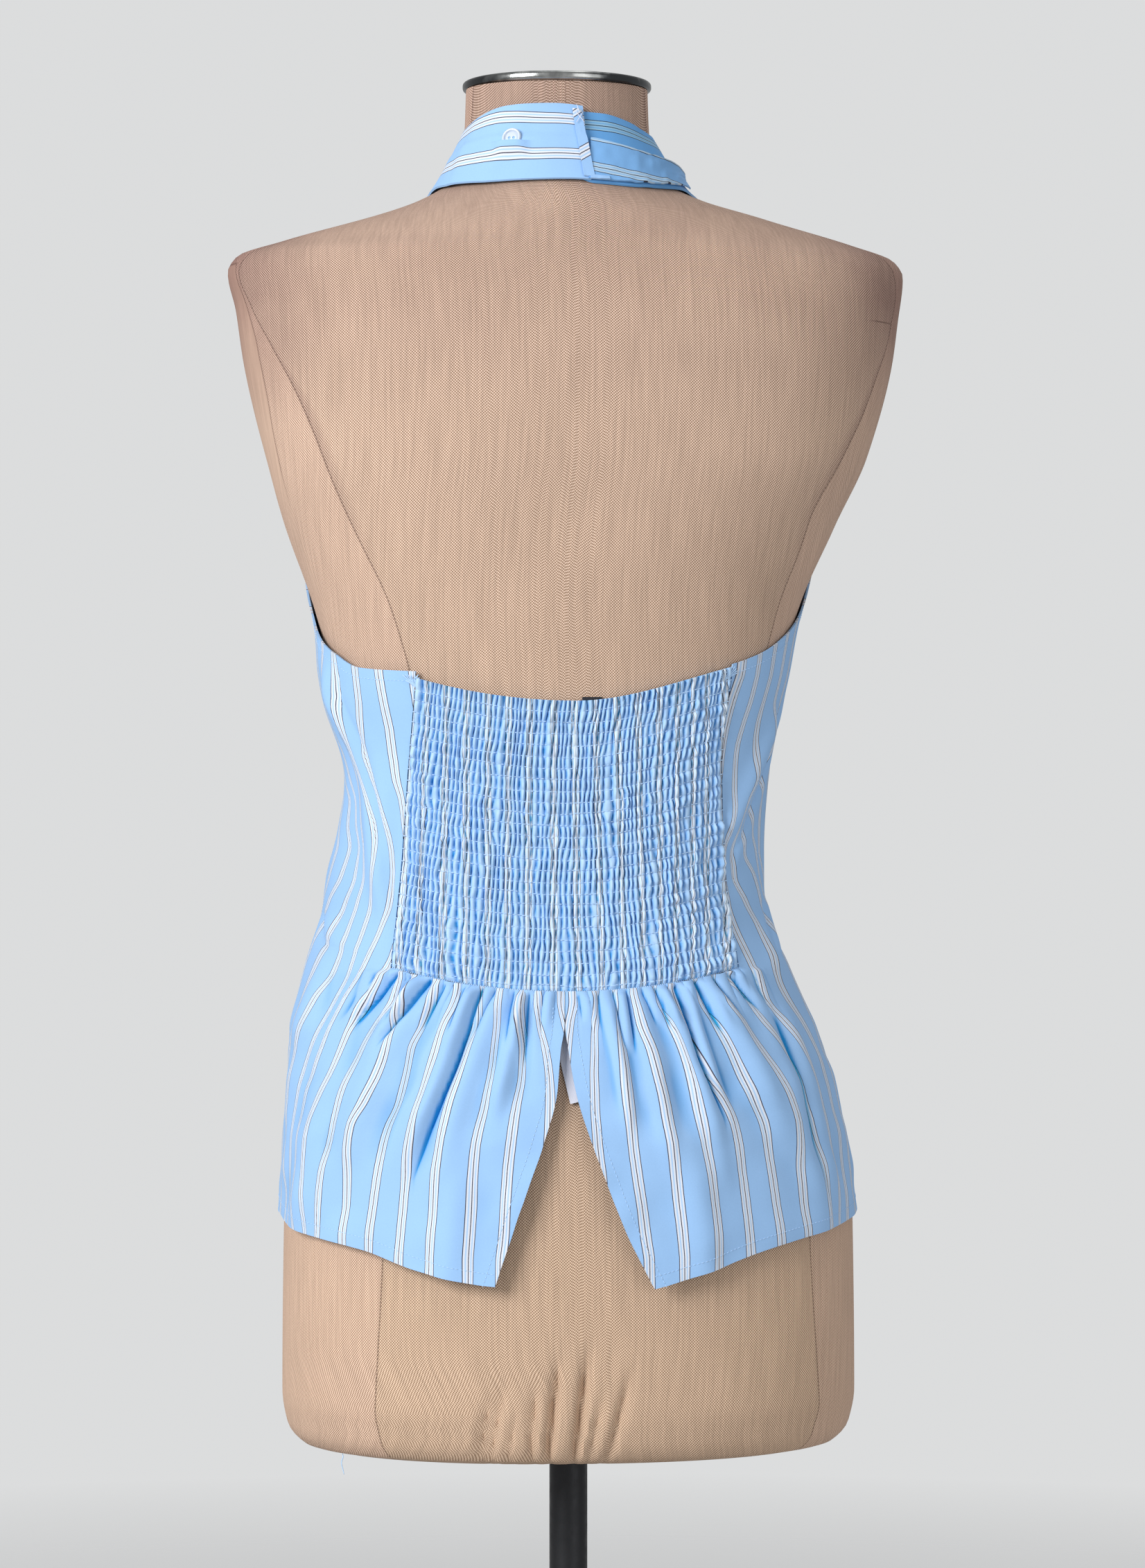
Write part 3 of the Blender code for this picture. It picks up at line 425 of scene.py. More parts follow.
LEFT_STRIPES: tuple[StripeLine, ...] = (
    below_waist(1.4, -0.1, -2.0, -3.1, -4.6, -5.5, -6.4, -6.6, -6.9),
    below_waist(8.2, 7.4, 5.6, 4.6, 4.2, 4.2, 4.8, 5.3, 5.7),
    below_waist(12.7, 12.3, 11.7, 11.8, 12.7, 13.4, 14.6, 15.3, 16.2),
    below_waist(19.2, 18.9, 19.1, 19.3, 20.1, 21.4, 22.4, 22.9, 23.4),
    below_waist(23.8, 23.9, 25.1, 26.8, 28.3, 29.2, 30.5, 31.4, 32.2),
    below_waist(30.1, 31.4, 32.4, 33.7, 34.9, 35.9, 37.8, 38.7, 39.4),
    below_waist(35.8, 36.6, 38.7, 39.1, 39.8, 42.0, 44.1, 45.5, 46.4),
    below_waist(41.6, 42.6, 43.2, 44.5, 46.9, 49.7, 51.4, 52.0, 52.7),
    below_waist(44.7, 47.4, 50.5, 52.9, 54.4, 55.0, 57.5, 59.4, 60.2),
    (
        54.5, 54.3, 54.2, 54.7, 54.3, 52.1, 50.6, 49.2, 48.4, 47.9, 47.8, 48.2,
        49.1, 51.4, 53.9, 56.1, 58.3, 60.7, 62.6, 63.0, 63.0, 63.1,
    ),
    (
        61.3, 61.7, 63.0, 64.0, 61.8, 58.3, 55.4, 53.3, 51.9, 51.5, 52.9, 54.8,
        56.2, 58.8, 60.2, 62.2, 64.7, 67.2, 68.1, 67.2, 67.1, 67.3,
    ),
    (
        69.4, 69.2, 68.4, 67.1, 64.8, 61.4, 58.2, 56.6, 56.1, 56.9, 58.1, 58.7,
        59.0, 60.5, 62.4, 65.4, 68.0, 70.3, 71.9, 71.7, 71.1, 71.2,
    ),
    (
        75.1, 76.1, 76.1, 72.8, 70.2, 67.6, 65.4, 62.2, 60.7, 62.1, 63.3, 63.4,
        64.2, 67.5, 69.3, 71.9, 74.3, 76.6, 78.5, 76.6, 74.2, 73.7,
    ),
    (
        82.5, 83.4, 83.4, 80.1, 76.9, 71.2, 68.6, 64.6, 64.2, 66.8, 69.1, 70.6,
        71.8, 73.8, 75.8, 78.0, 81.0, 84.0, 85.5, 83.6, 81.5, 81.0,
    ),
    (
        90.0, 91.0, 91.0, 88.0, 84.0, 75.0, 73.6, 69.8, 71.3, 77.2, 82.0, 84.0,
        85.6, 85.7, 85.7, 86.0, 88.0, 91.0, 92.5, 91.0, 89.0, 88.0,
    ),
)  # fmt: skip
RIGHT_STRIPES: tuple[StripeLine, ...] = (
    below_waist(2.9, 1.5, 0.4, -0.3, -0.7, -0.9, -1.2, -1.6, -1.8),
    below_waist(9.3, 8.7, 7.9, 7.3, 7.3, 7.6, 8.4, 9.0, 9.9),
    below_waist(15.7, 15.1, 15.3, 15.5, 15.9, 16.5, 17.6, 18.7, 20.1),
    below_waist(21.3, 21.7, 23.1, 23.9, 24.9, 25.7, 27.1, 27.9, 28.7),
    below_waist(28.0, 30.5, 32.0, 32.9, 33.5, 34.2, 35.5, 36.3, 36.8),
    below_waist(33.1, 33.8, 35.2, 37.2, 40.5, 42.6, 44.1, 44.8, 45.5),
    below_waist(40.5, 43.2, 45.1, 46.4, 48.3, 50.3, 51.4, 52.3, 53.5),
    below_waist(47.1, 50.1, 52.3, 55.5, 57.8, 58.8, 59.0, 59.3, 60.7),
    (
        62.3, 60.4, 59.3, 58.5, 57.6, 56.7, 56.2, 55.7, 54.7, 53.6, 52.3, 50.9,
        50.8, 54.9, 57.5, 60.9, 62.4, 62.5, 63.2, 65.6, 66.9, 67.8,
    ),
    (
        67.4, 66.7, 65.0, 63.3, 62.9, 62.7, 61.2, 59.8, 59.2, 59.3, 60.0, 61.1,
        61.8, 61.1, 64.5, 67.0, 68.4, 69.6, 70.4, 70.3, 70.4, 71.1,
    ),
    (
        73.1, 72.0, 71.0, 71.3, 71.3, 67.0, 64.1, 62.1, 62.2, 67.6, 72.3, 71.4,
        69.9, 70.7, 73.1, 75.3, 76.8, 77.5, 77.5, 76.0, 74.8, 74.7,
    ),
    (
        78.4, 78.1, 80.2, 79.0, 73.4, 68.7, 65.9, 67.1, 74.8, 79.1, 80.4, 84.3,
        85.3, 85.3, 83.0, 82.5, 84.0, 84.5, 84.5, 83.0, 82.0, 82.0,
    ),
    (
        84.1, 82.8, 84.0, 80.4, 74.3, 70.0, 71.2, 76.0, 78.0, 84.0, 87.0, 91.0,
        92.0, 92.0, 89.5, 90.0, 91.0, 92.0, 92.0, 90.0, 89.0, 89.0,
    ),
    (
        91.0, 90.0, 90.5, 82.0, 75.3, 77.4, 77.7, 77.7, 84.0, 91.0, 94.0, 98.0,
        99.0, 99.0, 97.0, 97.0, 98.0, 99.0, 99.0, 97.5, 96.5, 96.0,
    ),
)  # fmt: skip

# ---------------------------------------------------------------- curves and noise


def smooth_curve(keys: Sequence[float], values: Sequence[float], at: Grid | float) -> Grid:
    """Joins a table's values by cubics that never overshoot.

    Args:
        keys: The table's keys, rising.
        values: The value at each key.
        at: Where to read the curve; outside the keys it holds the end values.

    Returns:
        The curve's values, in the shape of at.
    """
    xs, ys = np.asarray(keys, float), np.asarray(values, float)
    slopes = np.diff(ys) / np.diff(xs)
    tangents = np.concatenate([slopes[:1], np.zeros(len(xs) - 2), slopes[-1:]])
    product = slopes[:-1] * slopes[1:]
    total = slopes[:-1] + slopes[1:]
    same_way = product > 0
    tangents[1:-1][same_way] = 2 * product[same_way] / total[same_way]
    at = np.clip(np.asarray(at, float), xs[0], xs[-1])
    i = np.clip(np.searchsorted(xs, at) - 1, 0, len(xs) - 2)
    step = xs[i + 1] - xs[i]
    t = (at - xs[i]) / step
    start = ys[i] * (2 * t**3 - 3 * t**2 + 1) + step * tangents[i] * (t**3 - 2 * t**2 + t)
    return start + ys[i + 1] * (3 * t**2 - 2 * t**3) + step * tangents[i + 1] * (t**3 - t**2)


def table_value(rows: Sequence[NamedTuple], key: str, column: str, at: Grid | float) -> Grid:
    """A named column of a table at the given keys."""
    keys = [getattr(row, key) for row in rows]
    return smooth_curve(keys, [getattr(row, column) for row in rows], at)


def blend(low: float, high: float, value: Grid | float) -> Grid:
    """0 below low, 1 above high and a smooth rise between."""
    t = np.clip((np.asarray(value, float) - low) / (high - low), 0, 1)
    return t * t * (3 - 2 * t)


def bell(off: Grid, width: Grid | float) -> Grid:
    """A soft bump that is 1 where off is 0 and gone two or three widths away."""
    return np.exp(-((off / width) ** 2))


@dataclass(frozen=True)
class Noise:
    """Soft seeded noise on a plane, from -1 to 1."""

    seed: int
    size: int = 64

    def at(self, x: Grid, y: Grid) -> Grid:
        """The noise at a grid of points, with one bump to each unit of x and y."""
        knots = np.random.default_rng(self.seed).uniform(-1, 1, (self.size, self.size))
        x, y = np.broadcast_arrays(np.asarray(x, float), np.asarray(y, float))
        i, j = np.floor(x).astype(int), np.floor(y).astype(int)
        u, v = x - i, y - j
        u, v = u * u * (3 - 2 * u), v * v * (3 - 2 * v)

        def knot(a: Grid, b: Grid) -> Grid:
            return knots[a % self.size, b % self.size]

        low = knot(i, j) * (1 - u) + knot(i + 1, j) * u
        high = knot(i, j + 1) * (1 - u) + knot(i + 1, j + 1) * u
        return low * (1 - v) + high * v


# ---------------------------------------------------------------- the surfaces of form and cloth


@dataclass(frozen=True)
class FormShape:
    """The dress form's outside, as a radius round the pole."""

    sections: tuple[Section, ...] = FORM
    turn: float = FORM_TURN

    def column(self, name: str, height: Grid | float) -> Grid:
        """A named measure of the form at a height."""
        return table_value(self.sections, "height", name, height)

    def radius(self, angle: Grid, height: Grid) -> Grid:
        """Distance from the pole to the form's surface."""
        local = angle - self.turn
        depth = np.where(np.cos(local) > 0, self.column("back", height), self.column("front", height))
        power = self.column("power", height)
        across = np.abs(np.sin(local)) / self.column("half_width", height)
        along = np.abs(np.cos(local)) / depth
        return (across**power + along**power) ** (-1 / power)

    def place(self, angle: Grid, height: Grid, radius: Grid) -> Grid:
        """Points round the pole, as an array whose last axis is x, y, z."""
        x = self.column("shift", height) + radius * np.sin(angle)
        return np.stack(np.broadcast_arrays(x, -radius * np.cos(angle), height), axis=-1)


@dataclass(frozen=True)
class ClothShape:
    """The inside of the cloth: the form's surface and the ease that the top hangs with."""

    form: FormShape = FormShape()
    ease: tuple[Ease, ...] = EASE

    def radius(self, angle: Grid, height: Grid) -> Grid:
        """Distance from the pole to the cloth's inside, before folds."""
        reach = {name: table_value(self.ease, "height", name, height) for name in Ease._fields[1:]}
        side = np.where(np.sin(angle) < 0, reach["left"], reach["right"])
        ends = np.where(np.cos(angle) > 0, reach["back"], reach["front"])
        ease = side * np.sin(angle) ** 2 + ends * np.cos(angle) ** 2
        return self.form.radius(angle, height) + ease

    def place(self, angle: Grid, height: Grid, rise: Grid | float = 0.0) -> Grid:
        """Points of the cloth's inside, raised by the folds."""
        return self.form.place(angle, height, self.radius(angle, height) + rise)

    def back_angle(self, x: Grid | float, height: Grid | float) -> Grid:
        """The angle at which the cloth's inside has this x, on the back half."""
        x, height = np.broadcast_arrays(np.asarray(x, float), np.asarray(height, float))
        low, high = np.full(x.shape, math.radians(-89)), np.full(x.shape, math.radians(89))
        shift = self.form.column("shift", height)
        for _ in range(26):
            middle = (low + high) / 2
            short = shift + self.radius(middle, height) * np.sin(middle) < x
            low, high = np.where(short, middle, low), np.where(short, high, middle)
        return (low + high) / 2


SHAPE = ClothShape()


def fold_rise(angle: Grid, height: Grid, folds: Sequence[Fold] = FOLDS, sink: float = 0.25) -> Grid:
    """The sum of folds that swell and die along their lines, with troughs made shallower by sink."""
    total = np.zeros(np.shape(angle))
    degrees = np.degrees(angle)
    for fold in folds:
        along = (height - fold.height) / (fold.to_height - fold.height)
        middle = fold.angle + (fold.to_angle - fold.angle) * along
        across = bell(degrees - middle, fold.width / 2)
        swell = blend(-0.35, 0.3, along) * (1 - blend(0.7, 1.35, along))
        total += fold.rise * across * swell
    return np.maximum(total, sink * total)


def crease_rise(angle: Grid, height: Grid, radius: Grid) -> Grid:
    """The sum of the pinched creases: a narrow valley with a rolled lip along one side."""
    total = np.zeros(np.shape(angle))
    degrees = np.degrees(angle)
    for crease in CREASES:
        keys = [crease.to_height, crease.mid_height, crease.height]
        middle = smooth_curve(keys, [crease.to_angle, crease.mid_angle, crease.angle], height)
        slope = (crease.to_angle - crease.angle) / (crease.to_height - crease.height)
        slant = math.cos(math.atan(math.radians(slope) * 0.15))
        off = np.radians(degrees - middle) * radius * slant
        along = (crease.height - height) / (crease.height - crease.to_height)
        swell = blend(-0.25, 0.05, along) * (1 - blend(0.55, 1.15, along))
        valley = np.exp(-(np.abs(off / crease.width) ** 1.4))
        lip = bell(off - crease.roll * 2.2 * crease.width, 1.5 * crease.width)
        total += crease.depth * swell * (0.75 * lip - valley)
    return total


def stripe_cloth(angle: Grid, height: Grid, radius: Grid, lines: Sequence[StripeLine]) -> Grid:
    """How far across the cloth each point lies, so that the stripes run where they are seen.

    Args:
        angle: Angles round from the middle of the back, counted outwards, in radians.
        height: Heights of the same points.
        radius: Their distances from the pole.
        lines: The traced stripes, from the middle outwards.

    Returns:
        Metres of cloth from stripe 0. Past the outermost line it grows as the cloth does.
    """
    keys = STRIPE_HEIGHTS[::-1]
    tracks = np.array([smooth_curve(keys, line[::-1], height) for line in lines])
    tracks = np.radians(tracks)
    for i in range(1, len(tracks)):
        tracks[i] = np.maximum(tracks[i], tracks[i - 1] + math.radians(0.4))
    cloth = np.where(
        angle < tracks[0],
        (angle - tracks[0]) * radius,
        (angle - tracks[-1]) * radius + (len(tracks) - 1) * STRIPE_REPEAT,
    )
    for i, (low, high) in enumerate(zip(tracks, tracks[1:])):
        inside = (angle >= low) & (angle < high)
        share = (angle - low) / (high - low)
        cloth = np.where(inside, (i + share) * STRIPE_REPEAT, cloth)
    return cloth


# ---------------------------------------------------------------- meshes


def level_ways(points: Grid) -> Grid:
    """Plan directions square to each row of a grid, pointing away from the pole."""
    run = np.gradient(points, axis=1)
    ways = np.stack([run[..., 1], -run[..., 0], np.zeros(run.shape[:2])], axis=-1)
    ways /= np.maximum(np.linalg.norm(ways, axis=-1, keepdims=True), 1e-9)
    outward = np.sum(ways[..., :2] * points[..., :2], axis=-1, keepdims=True)
    return ways * np.where(outward < 0, -1, 1)


def link_object(name: str, data: ID) -> Object:
    """A new object in the scene."""
    piece = bpy.data.objects.new(name, data)
    bpy.context.scene.collection.objects.link(piece)
    return piece


def new_object(name: str, vertices: Grid, faces: list[Face]) -> Object:
    """An object in the scene with a smooth-shaded mesh of these faces."""
    mesh = bpy.data.meshes.new(name)
    mesh.from_pydata(vertices.tolist(), [], faces)
    mesh.validate()
    mesh.shade_smooth()
    return link_object(name, mesh)


def evaluated_mesh(piece: Object) -> Mesh:
    """A plain mesh of an object with its modifiers run."""
    graph = bpy.context.evaluated_depsgraph_get()
    return bpy.data.meshes.new_from_object(piece.evaluated_get(graph))


def facing_out(faces: list[Face], points: Grid, outward: Grid) -> list[Face]:
    """The faces, turned over together if the first of them doesn't look outward."""
    a, b, c = (points[i] for i in faces[0][:3])
    turned = np.dot(np.cross(b - a, c - a), outward) < 0
    return [tuple(reversed(face)) for face in faces] if turned else faces


def set_map(piece: Object, name: str, coordinates: Grid) -> None:
    """Gives a mesh a UV map from one pair of values to each vertex."""
    layer = piece.data.uv_layers.new(name=name)
    corners = np.empty(len(piece.data.loops), np.int32)
    piece.data.loops.foreach_get("vertex_index", corners)
    layer.data.foreach_set("uv", coordinates[corners].astype(np.float32).ravel())


@dataclass
class ClothWall:
    """A closed wall of cloth between an outer and an inner grid of points.

    Attributes:
        name: The piece's name.
        outer: Rows, columns and x, y, z of the outside.
        inner: The same for the inside.
        cloth: Metres across and along the cloth at each grid point.
        present: Which cells there are, where the piece isn't a full rectangle.
        inner_rows: Rows that the inside uses, where it is plainer than the outside.
        depth: How much painted shade each grid point gets, from 0 to 1, or below 0 for a painted highlight.
    """

    name: str
    outer: Grid
    inner: Grid
    cloth: Grid
    present: NDArray[np.bool_] | None = None
    inner_rows: list[int] | None = None
    depth: Grid | None = None

    def build(self) -> Object:
        """Makes the closed mesh with its faces pointing out of the wall."""
        rows, columns = self.outer.shape[:2]
        count = rows * columns
        faces = self.full_faces() if self.inner_rows is None else self.plain_inside_faces()
        points = np.concatenate([self.outer.reshape(-1, 3), self.inner.reshape(-1, 3)])
        maps = np.concatenate([self.cloth.reshape(-1, 2)] * 2)
        first = faces[0][0]
        faces = facing_out(faces, points, points[first] - points[first + count])
        used = np.zeros(len(points), bool)
        for face in faces:
            used[list(face)] = True
        place = np.cumsum(used) - 1
        faces = [[int(place[i]) for i in face] for face in faces]
        piece = new_object(self.name, points[used], faces)
        piece.data.set_sharp_from_angle(angle=math.radians(55))
        set_map(piece, CLOTH_MAP, maps[used])
        # Painted shade and painted highlight of each grid point, on both grids.
        depth = np.zeros((rows, columns)) if self.depth is None else self.depth
        depth = np.repeat(np.concatenate([depth.ravel()] * 2)[:, None], 2, axis=1)
        set_map(piece, PAINTED_LIGHT_MAP, depth[used])
        return piece

    def full_faces(self) -> list[Face]:
        """Faces of both grids over the cells there are, and of the rims between them."""
        rows, columns = self.outer.shape[:2]
        count = rows * columns
        present = self.present
        if present is None:
            present = np.ones((rows - 1, columns - 1), bool)
        faces: list[Face] = []
        borders: set[tuple[int, int]] = set()
        for row, column in zip(*np.nonzero(present)):
            at = int(row) * columns + int(column)
            loop = (at, at + 1, at + columns + 1, at + columns)
            faces.append(loop)
            faces.append(tuple(count + i for i in reversed(loop)))
            for start, end in zip(loop, loop[1:] + loop[:1]):
                if (end, start) in borders:
                    borders.remove((end, start))
                else:
                    borders.add((start, end))
        for start, end in sorted(borders):
            faces.append((end, start, count + start, count + end))
        return faces

    def plain_inside_faces(self) -> list[Face]:
        """Faces of a fine outside and of an inside that has only some of its rows."""
        rows, columns = self.outer.shape[:2]
        count = rows * columns
        coarse = self.inner_rows or []
        faces: list[Face] = []
        for row in range(rows - 1):
            for column in range(columns - 1):
                at = row * columns + column
                faces.append((at, at + 1, at + columns + 1, at + columns))
        for high, low in zip(coarse, coarse[1:]):
            for column in range(columns - 1):
                at, to = count + high * columns + column, count + low * columns + column
                faces.append((at, to, to + 1, at + 1))
            for column, step in ((0, 1), (columns - 1, -1)):
                strip = [row * columns + column for row in range(high, low + 1)][::step]
                ends = [count + low * columns + column, count + high * columns + column][::step]
                faces.append(tuple(strip + ends))
        for row, step in ((0, 1), (rows - 1, -1)):
            for column in range(columns - 1):
                at = row * columns + column
                faces.append((at + 1, at, count + at, count + at + 1)[::step])
        return faces


def inset_path(points: Grid, distance: float) -> Grid:
    """The line at a distance down each column of a grid from its first row."""
    path = []
    for column in range(points.shape[1]):
        line = points[:, column]
        run = np.concatenate([[0], np.cumsum(np.linalg.norm(np.diff(line, axis=0), axis=1))])
        path.append([np.interp(distance, run, line[:, axis]) for axis in range(3)])
    return np.array(path)


# ---------------------------------------------------------------- shader building


class NodeSheet:
    """Adds nodes to a material or a node group and links them in one line each."""

    def __init__(self, tree: NodeTree) -> None:
        """Keeps the tree that the nodes go into."""
        self.tree = tree

    def add(self, kind: str, **settings: object) -> Node:
        """A new node with its properties set."""
        node = self.tree.nodes.new(kind)
        for name, value in settings.items():
            setattr(node, name, value)
        return node

    def put(self, socket: NodeSocket, value: object) -> None:
        """Links an output to a socket, or sets the socket's own value."""
        if isinstance(value, NodeSocket):
            self.tree.links.new(value, socket)
        else:
            socket.default_value = value

    def fill(self, node: Node, values: Mapping[str, object]) -> Node:
        """Puts a value or an output into each of the node's named sockets."""
        for name, value in values.items():
            self.put(node.inputs[name], value)
        return node

    def group(self, tree: NodeTree, **values: object) -> NodeSocket:
        """The output of a shared group with its inputs filled."""
        return self.fill(self.add("ShaderNodeGroup", node_tree=tree), values).outputs[0]

    def place(self) -> NodeSocket:
        """Where a point lies in its object."""
        return self.add("ShaderNodeTexCoord").outputs["Object"]

    def map(self, name: str) -> NodeSocket:
        """Where a point lies in one of the mesh's UV maps."""
        return self.add("ShaderNodeUVMap", uv_map=name).outputs[0]

    def parts(self, vector: NodeSocket) -> tuple[NodeSocket, ...]:
        """The three numbers of a vector."""
        node = self.add("ShaderNodeSeparateXYZ")
        self.put(node.inputs[0], vector)
        return tuple(node.outputs)

    def math(self, operation: str, *values: object) -> NodeSocket:
        """The output of a Math node."""
        node = self.add("ShaderNodeMath", operation=operation)
        for socket, value in zip(node.inputs, values):
            self.put(socket, value)
        return node.outputs[0]

    def times(self, first: object, *others: object) -> NodeSocket:
        """The product of several values."""
        for other in others:
            first = self.math("MULTIPLY", first, other)
        return first

    def most(self, first: object, *others: object) -> NodeSocket:
        """The largest of several values."""
        for other in others:
            first = self.math("MAXIMUM", first, other)
        return first

    def mix(self, share: object, first: object, second: object, mode: str = "MIX") -> NodeSocket:
        """The colour output of a Mix node."""
        node = self.add("ShaderNodeMix", data_type="RGBA", blend_type=mode)
        for number, value in ((0, share), (6, first), (7, second)):
            self.put(node.inputs[number], value)
        return node.outputs[2]

    def tint(self, colour: object, by: object) -> NodeSocket:
        """A colour multiplied by another colour or by a shade."""
        return self.mix(1.0, colour, by, "MULTIPLY")

    def noise(self, vector: object, scale: object, detail: float = 3.0) -> NodeSocket:
        """The value output of a Noise Texture node."""
        node = self.add("ShaderNodeTexNoise")
        return self.fill(node, {"Vector": vector, "Scale": scale, "Detail": detail}).outputs[0]

    def span(self, value: object, low: float, high: float, to_low: float, to_high: float) -> NodeSocket:
        """A value moved from one range to another and held inside it."""
        node = self.add("ShaderNodeMapRange")
        for socket, item in zip(node.inputs, (value, low, high, to_low, to_high)):
            self.put(socket, item)
        return node.outputs[0]

    def line(self, away: object, half_width: float) -> NodeSocket:
        """1 where away is 0, falling to 0 at half the line's width."""
        return self.span(self.math("ABSOLUTE", away), 0.0, half_width, 1, 0)


FLOAT, VECTOR, COLOUR = "NodeSocketFloat", "NodeSocketVector", "NodeSocketColor"
SHADER_GROUP, GEOMETRY_GROUP = "ShaderNodeTree", "GeometryNodeTree"


def start_group(
    kind: str,
    name: str,
    inputs: Mapping[str, str],
    outputs: Mapping[str, str],
) -> tuple[NodeSheet, Node, Node]:
    """Starts a node group with named inputs and outputs.

    Args:
        kind: The type of its tree.
        name: The group's name.
        inputs: Socket types of its inputs, by their names.
        outputs: The same for its outputs.

    Returns:
        The sheet to add its nodes with, and its input and output nodes.
    """
    tree = bpy.data.node_groups.new(name, kind)
    for way, sockets in (("INPUT", inputs), ("OUTPUT", outputs)):
        for label, socket in sockets.items():
            tree.interface.new_socket(name=label, in_out=way, socket_type=socket)
    sheet = NodeSheet(tree)
    return sheet, sheet.add("NodeGroupInput"), sheet.add("NodeGroupOutput")


class GroupLibrary:
    """The shader groups that several finishes share, each built once."""

    def __init__(self) -> None:
        """Builds every group."""
        self.weave = self.make_weave()
        self.mottle = self.make_mottle()
        self.stripes = self.make_stripes()

    @staticmethod
    def make_weave() -> NodeTree:
        """Over-and-under threads: bright where a thread lies on top, dark between threads."""
        inputs = {"Vector": VECTOR, "Threads": FLOAT}
        sheet, source, sink = start_group(SHADER_GROUP, "plain_weave", inputs, {"Height": FLOAT})
        x, y, _ = sheet.parts(source.outputs["Vector"])
        turns = sheet.times(source.outputs["Threads"], math.tau)
        across, along = (sheet.math("SINE", sheet.times(part, turns)) for part in (x, y))
        height = sheet.math("MULTIPLY_ADD", sheet.times(across, along), 0.5, 0.5)
        sheet.put(sink.inputs["Height"], height)
        return sheet.tree

    @staticmethod
    def make_mottle() -> NodeTree:
        """Soft uneven tone at a broad and a fine scale, round 1."""
        inputs = {"Vector": VECTOR, "Broad": FLOAT, "Fine": FLOAT, "Amount": FLOAT}
        sheet, source, sink = start_group(SHADER_GROUP, "uneven_tone", inputs, {"Tone": FLOAT})
        vector = source.outputs["Vector"]
        details = (("Broad", 2.0), ("Fine", 4.0))
        noises = [sheet.noise(vector, source.outputs[name], detail) for name, detail in details]
        both = sheet.math("ADD", *(sheet.math("SUBTRACT", noise, 0.5) for noise in noises))
        tone = sheet.math("MULTIPLY_ADD", both, source.outputs["Amount"], 1.0)
        sheet.put(sink.inputs["Tone"], tone)
        return sheet.tree

    @staticmethod
    def make_stripes() -> NodeTree:
        """The woven stripe group, repeated across the cloth's own width."""
        colours = dict.fromkeys(("Ground", "White", "Pale", "Dark"), COLOUR)
        inputs = {"Vector": VECTOR, "Repeat": FLOAT} | colours
        sheet, source, sink = start_group(SHADER_GROUP, "woven_stripes", inputs, {"Color": COLOUR})
        across = sheet.parts(source.outputs["Vector"])[0]
        turns = sheet.math("DIVIDE", across, source.outputs["Repeat"])
        place = sheet.math("FRACT", sheet.math("ADD", turns, 0.5))
        edge = 0.5 - sum(width for _, width in STRIPE_THREADS) / 2 / STRIPE_REPEAT
        colour = source.outputs["Ground"]
        for thread, width in (*STRIPE_THREADS, ("Ground", 0.0)):
            colour = sheet.mix(sheet.math("GREATER_THAN", place, edge), colour, source.outputs[thread])
            edge += width / STRIPE_REPEAT
        sheet.put(sink.inputs["Color"], colour)
        return sheet.tree


# Threads of one stripe group and their widths in metres.
STRIPE_THREADS = (
    ("Dark", 0.00045),
    ("White", 0.00090),
    ("Pale", 0.00075),
    ("White", 0.00090),
    ("Dark", 0.00050),
    ("White", 0.00090),
    ("Pale", 0.00075),
    ("White", 0.00090),
    ("Dark", 0.00045),
)


def start_material(name: str) -> tuple[Material, NodeSheet, Node]:
    """A new material, a sheet for its nodes and its Principled shader."""
    material = bpy.data.materials.new(name)
    material.use_nodes = True
    return material, NodeSheet(material.node_tree), material.node_tree.nodes["Principled BSDF"]


def add_bump(sheet: NodeSheet, shader: Node, height: object, distance: float, strength: float) -> None:
    """Feeds a height into the shader's normal."""
    values = {"Strength": strength, "Distance": distance, "Height": height}
    bump = sheet.fill(sheet.add("ShaderNodeBump"), values)
    sheet.put(shader.inputs["Normal"], bump.outputs[0])


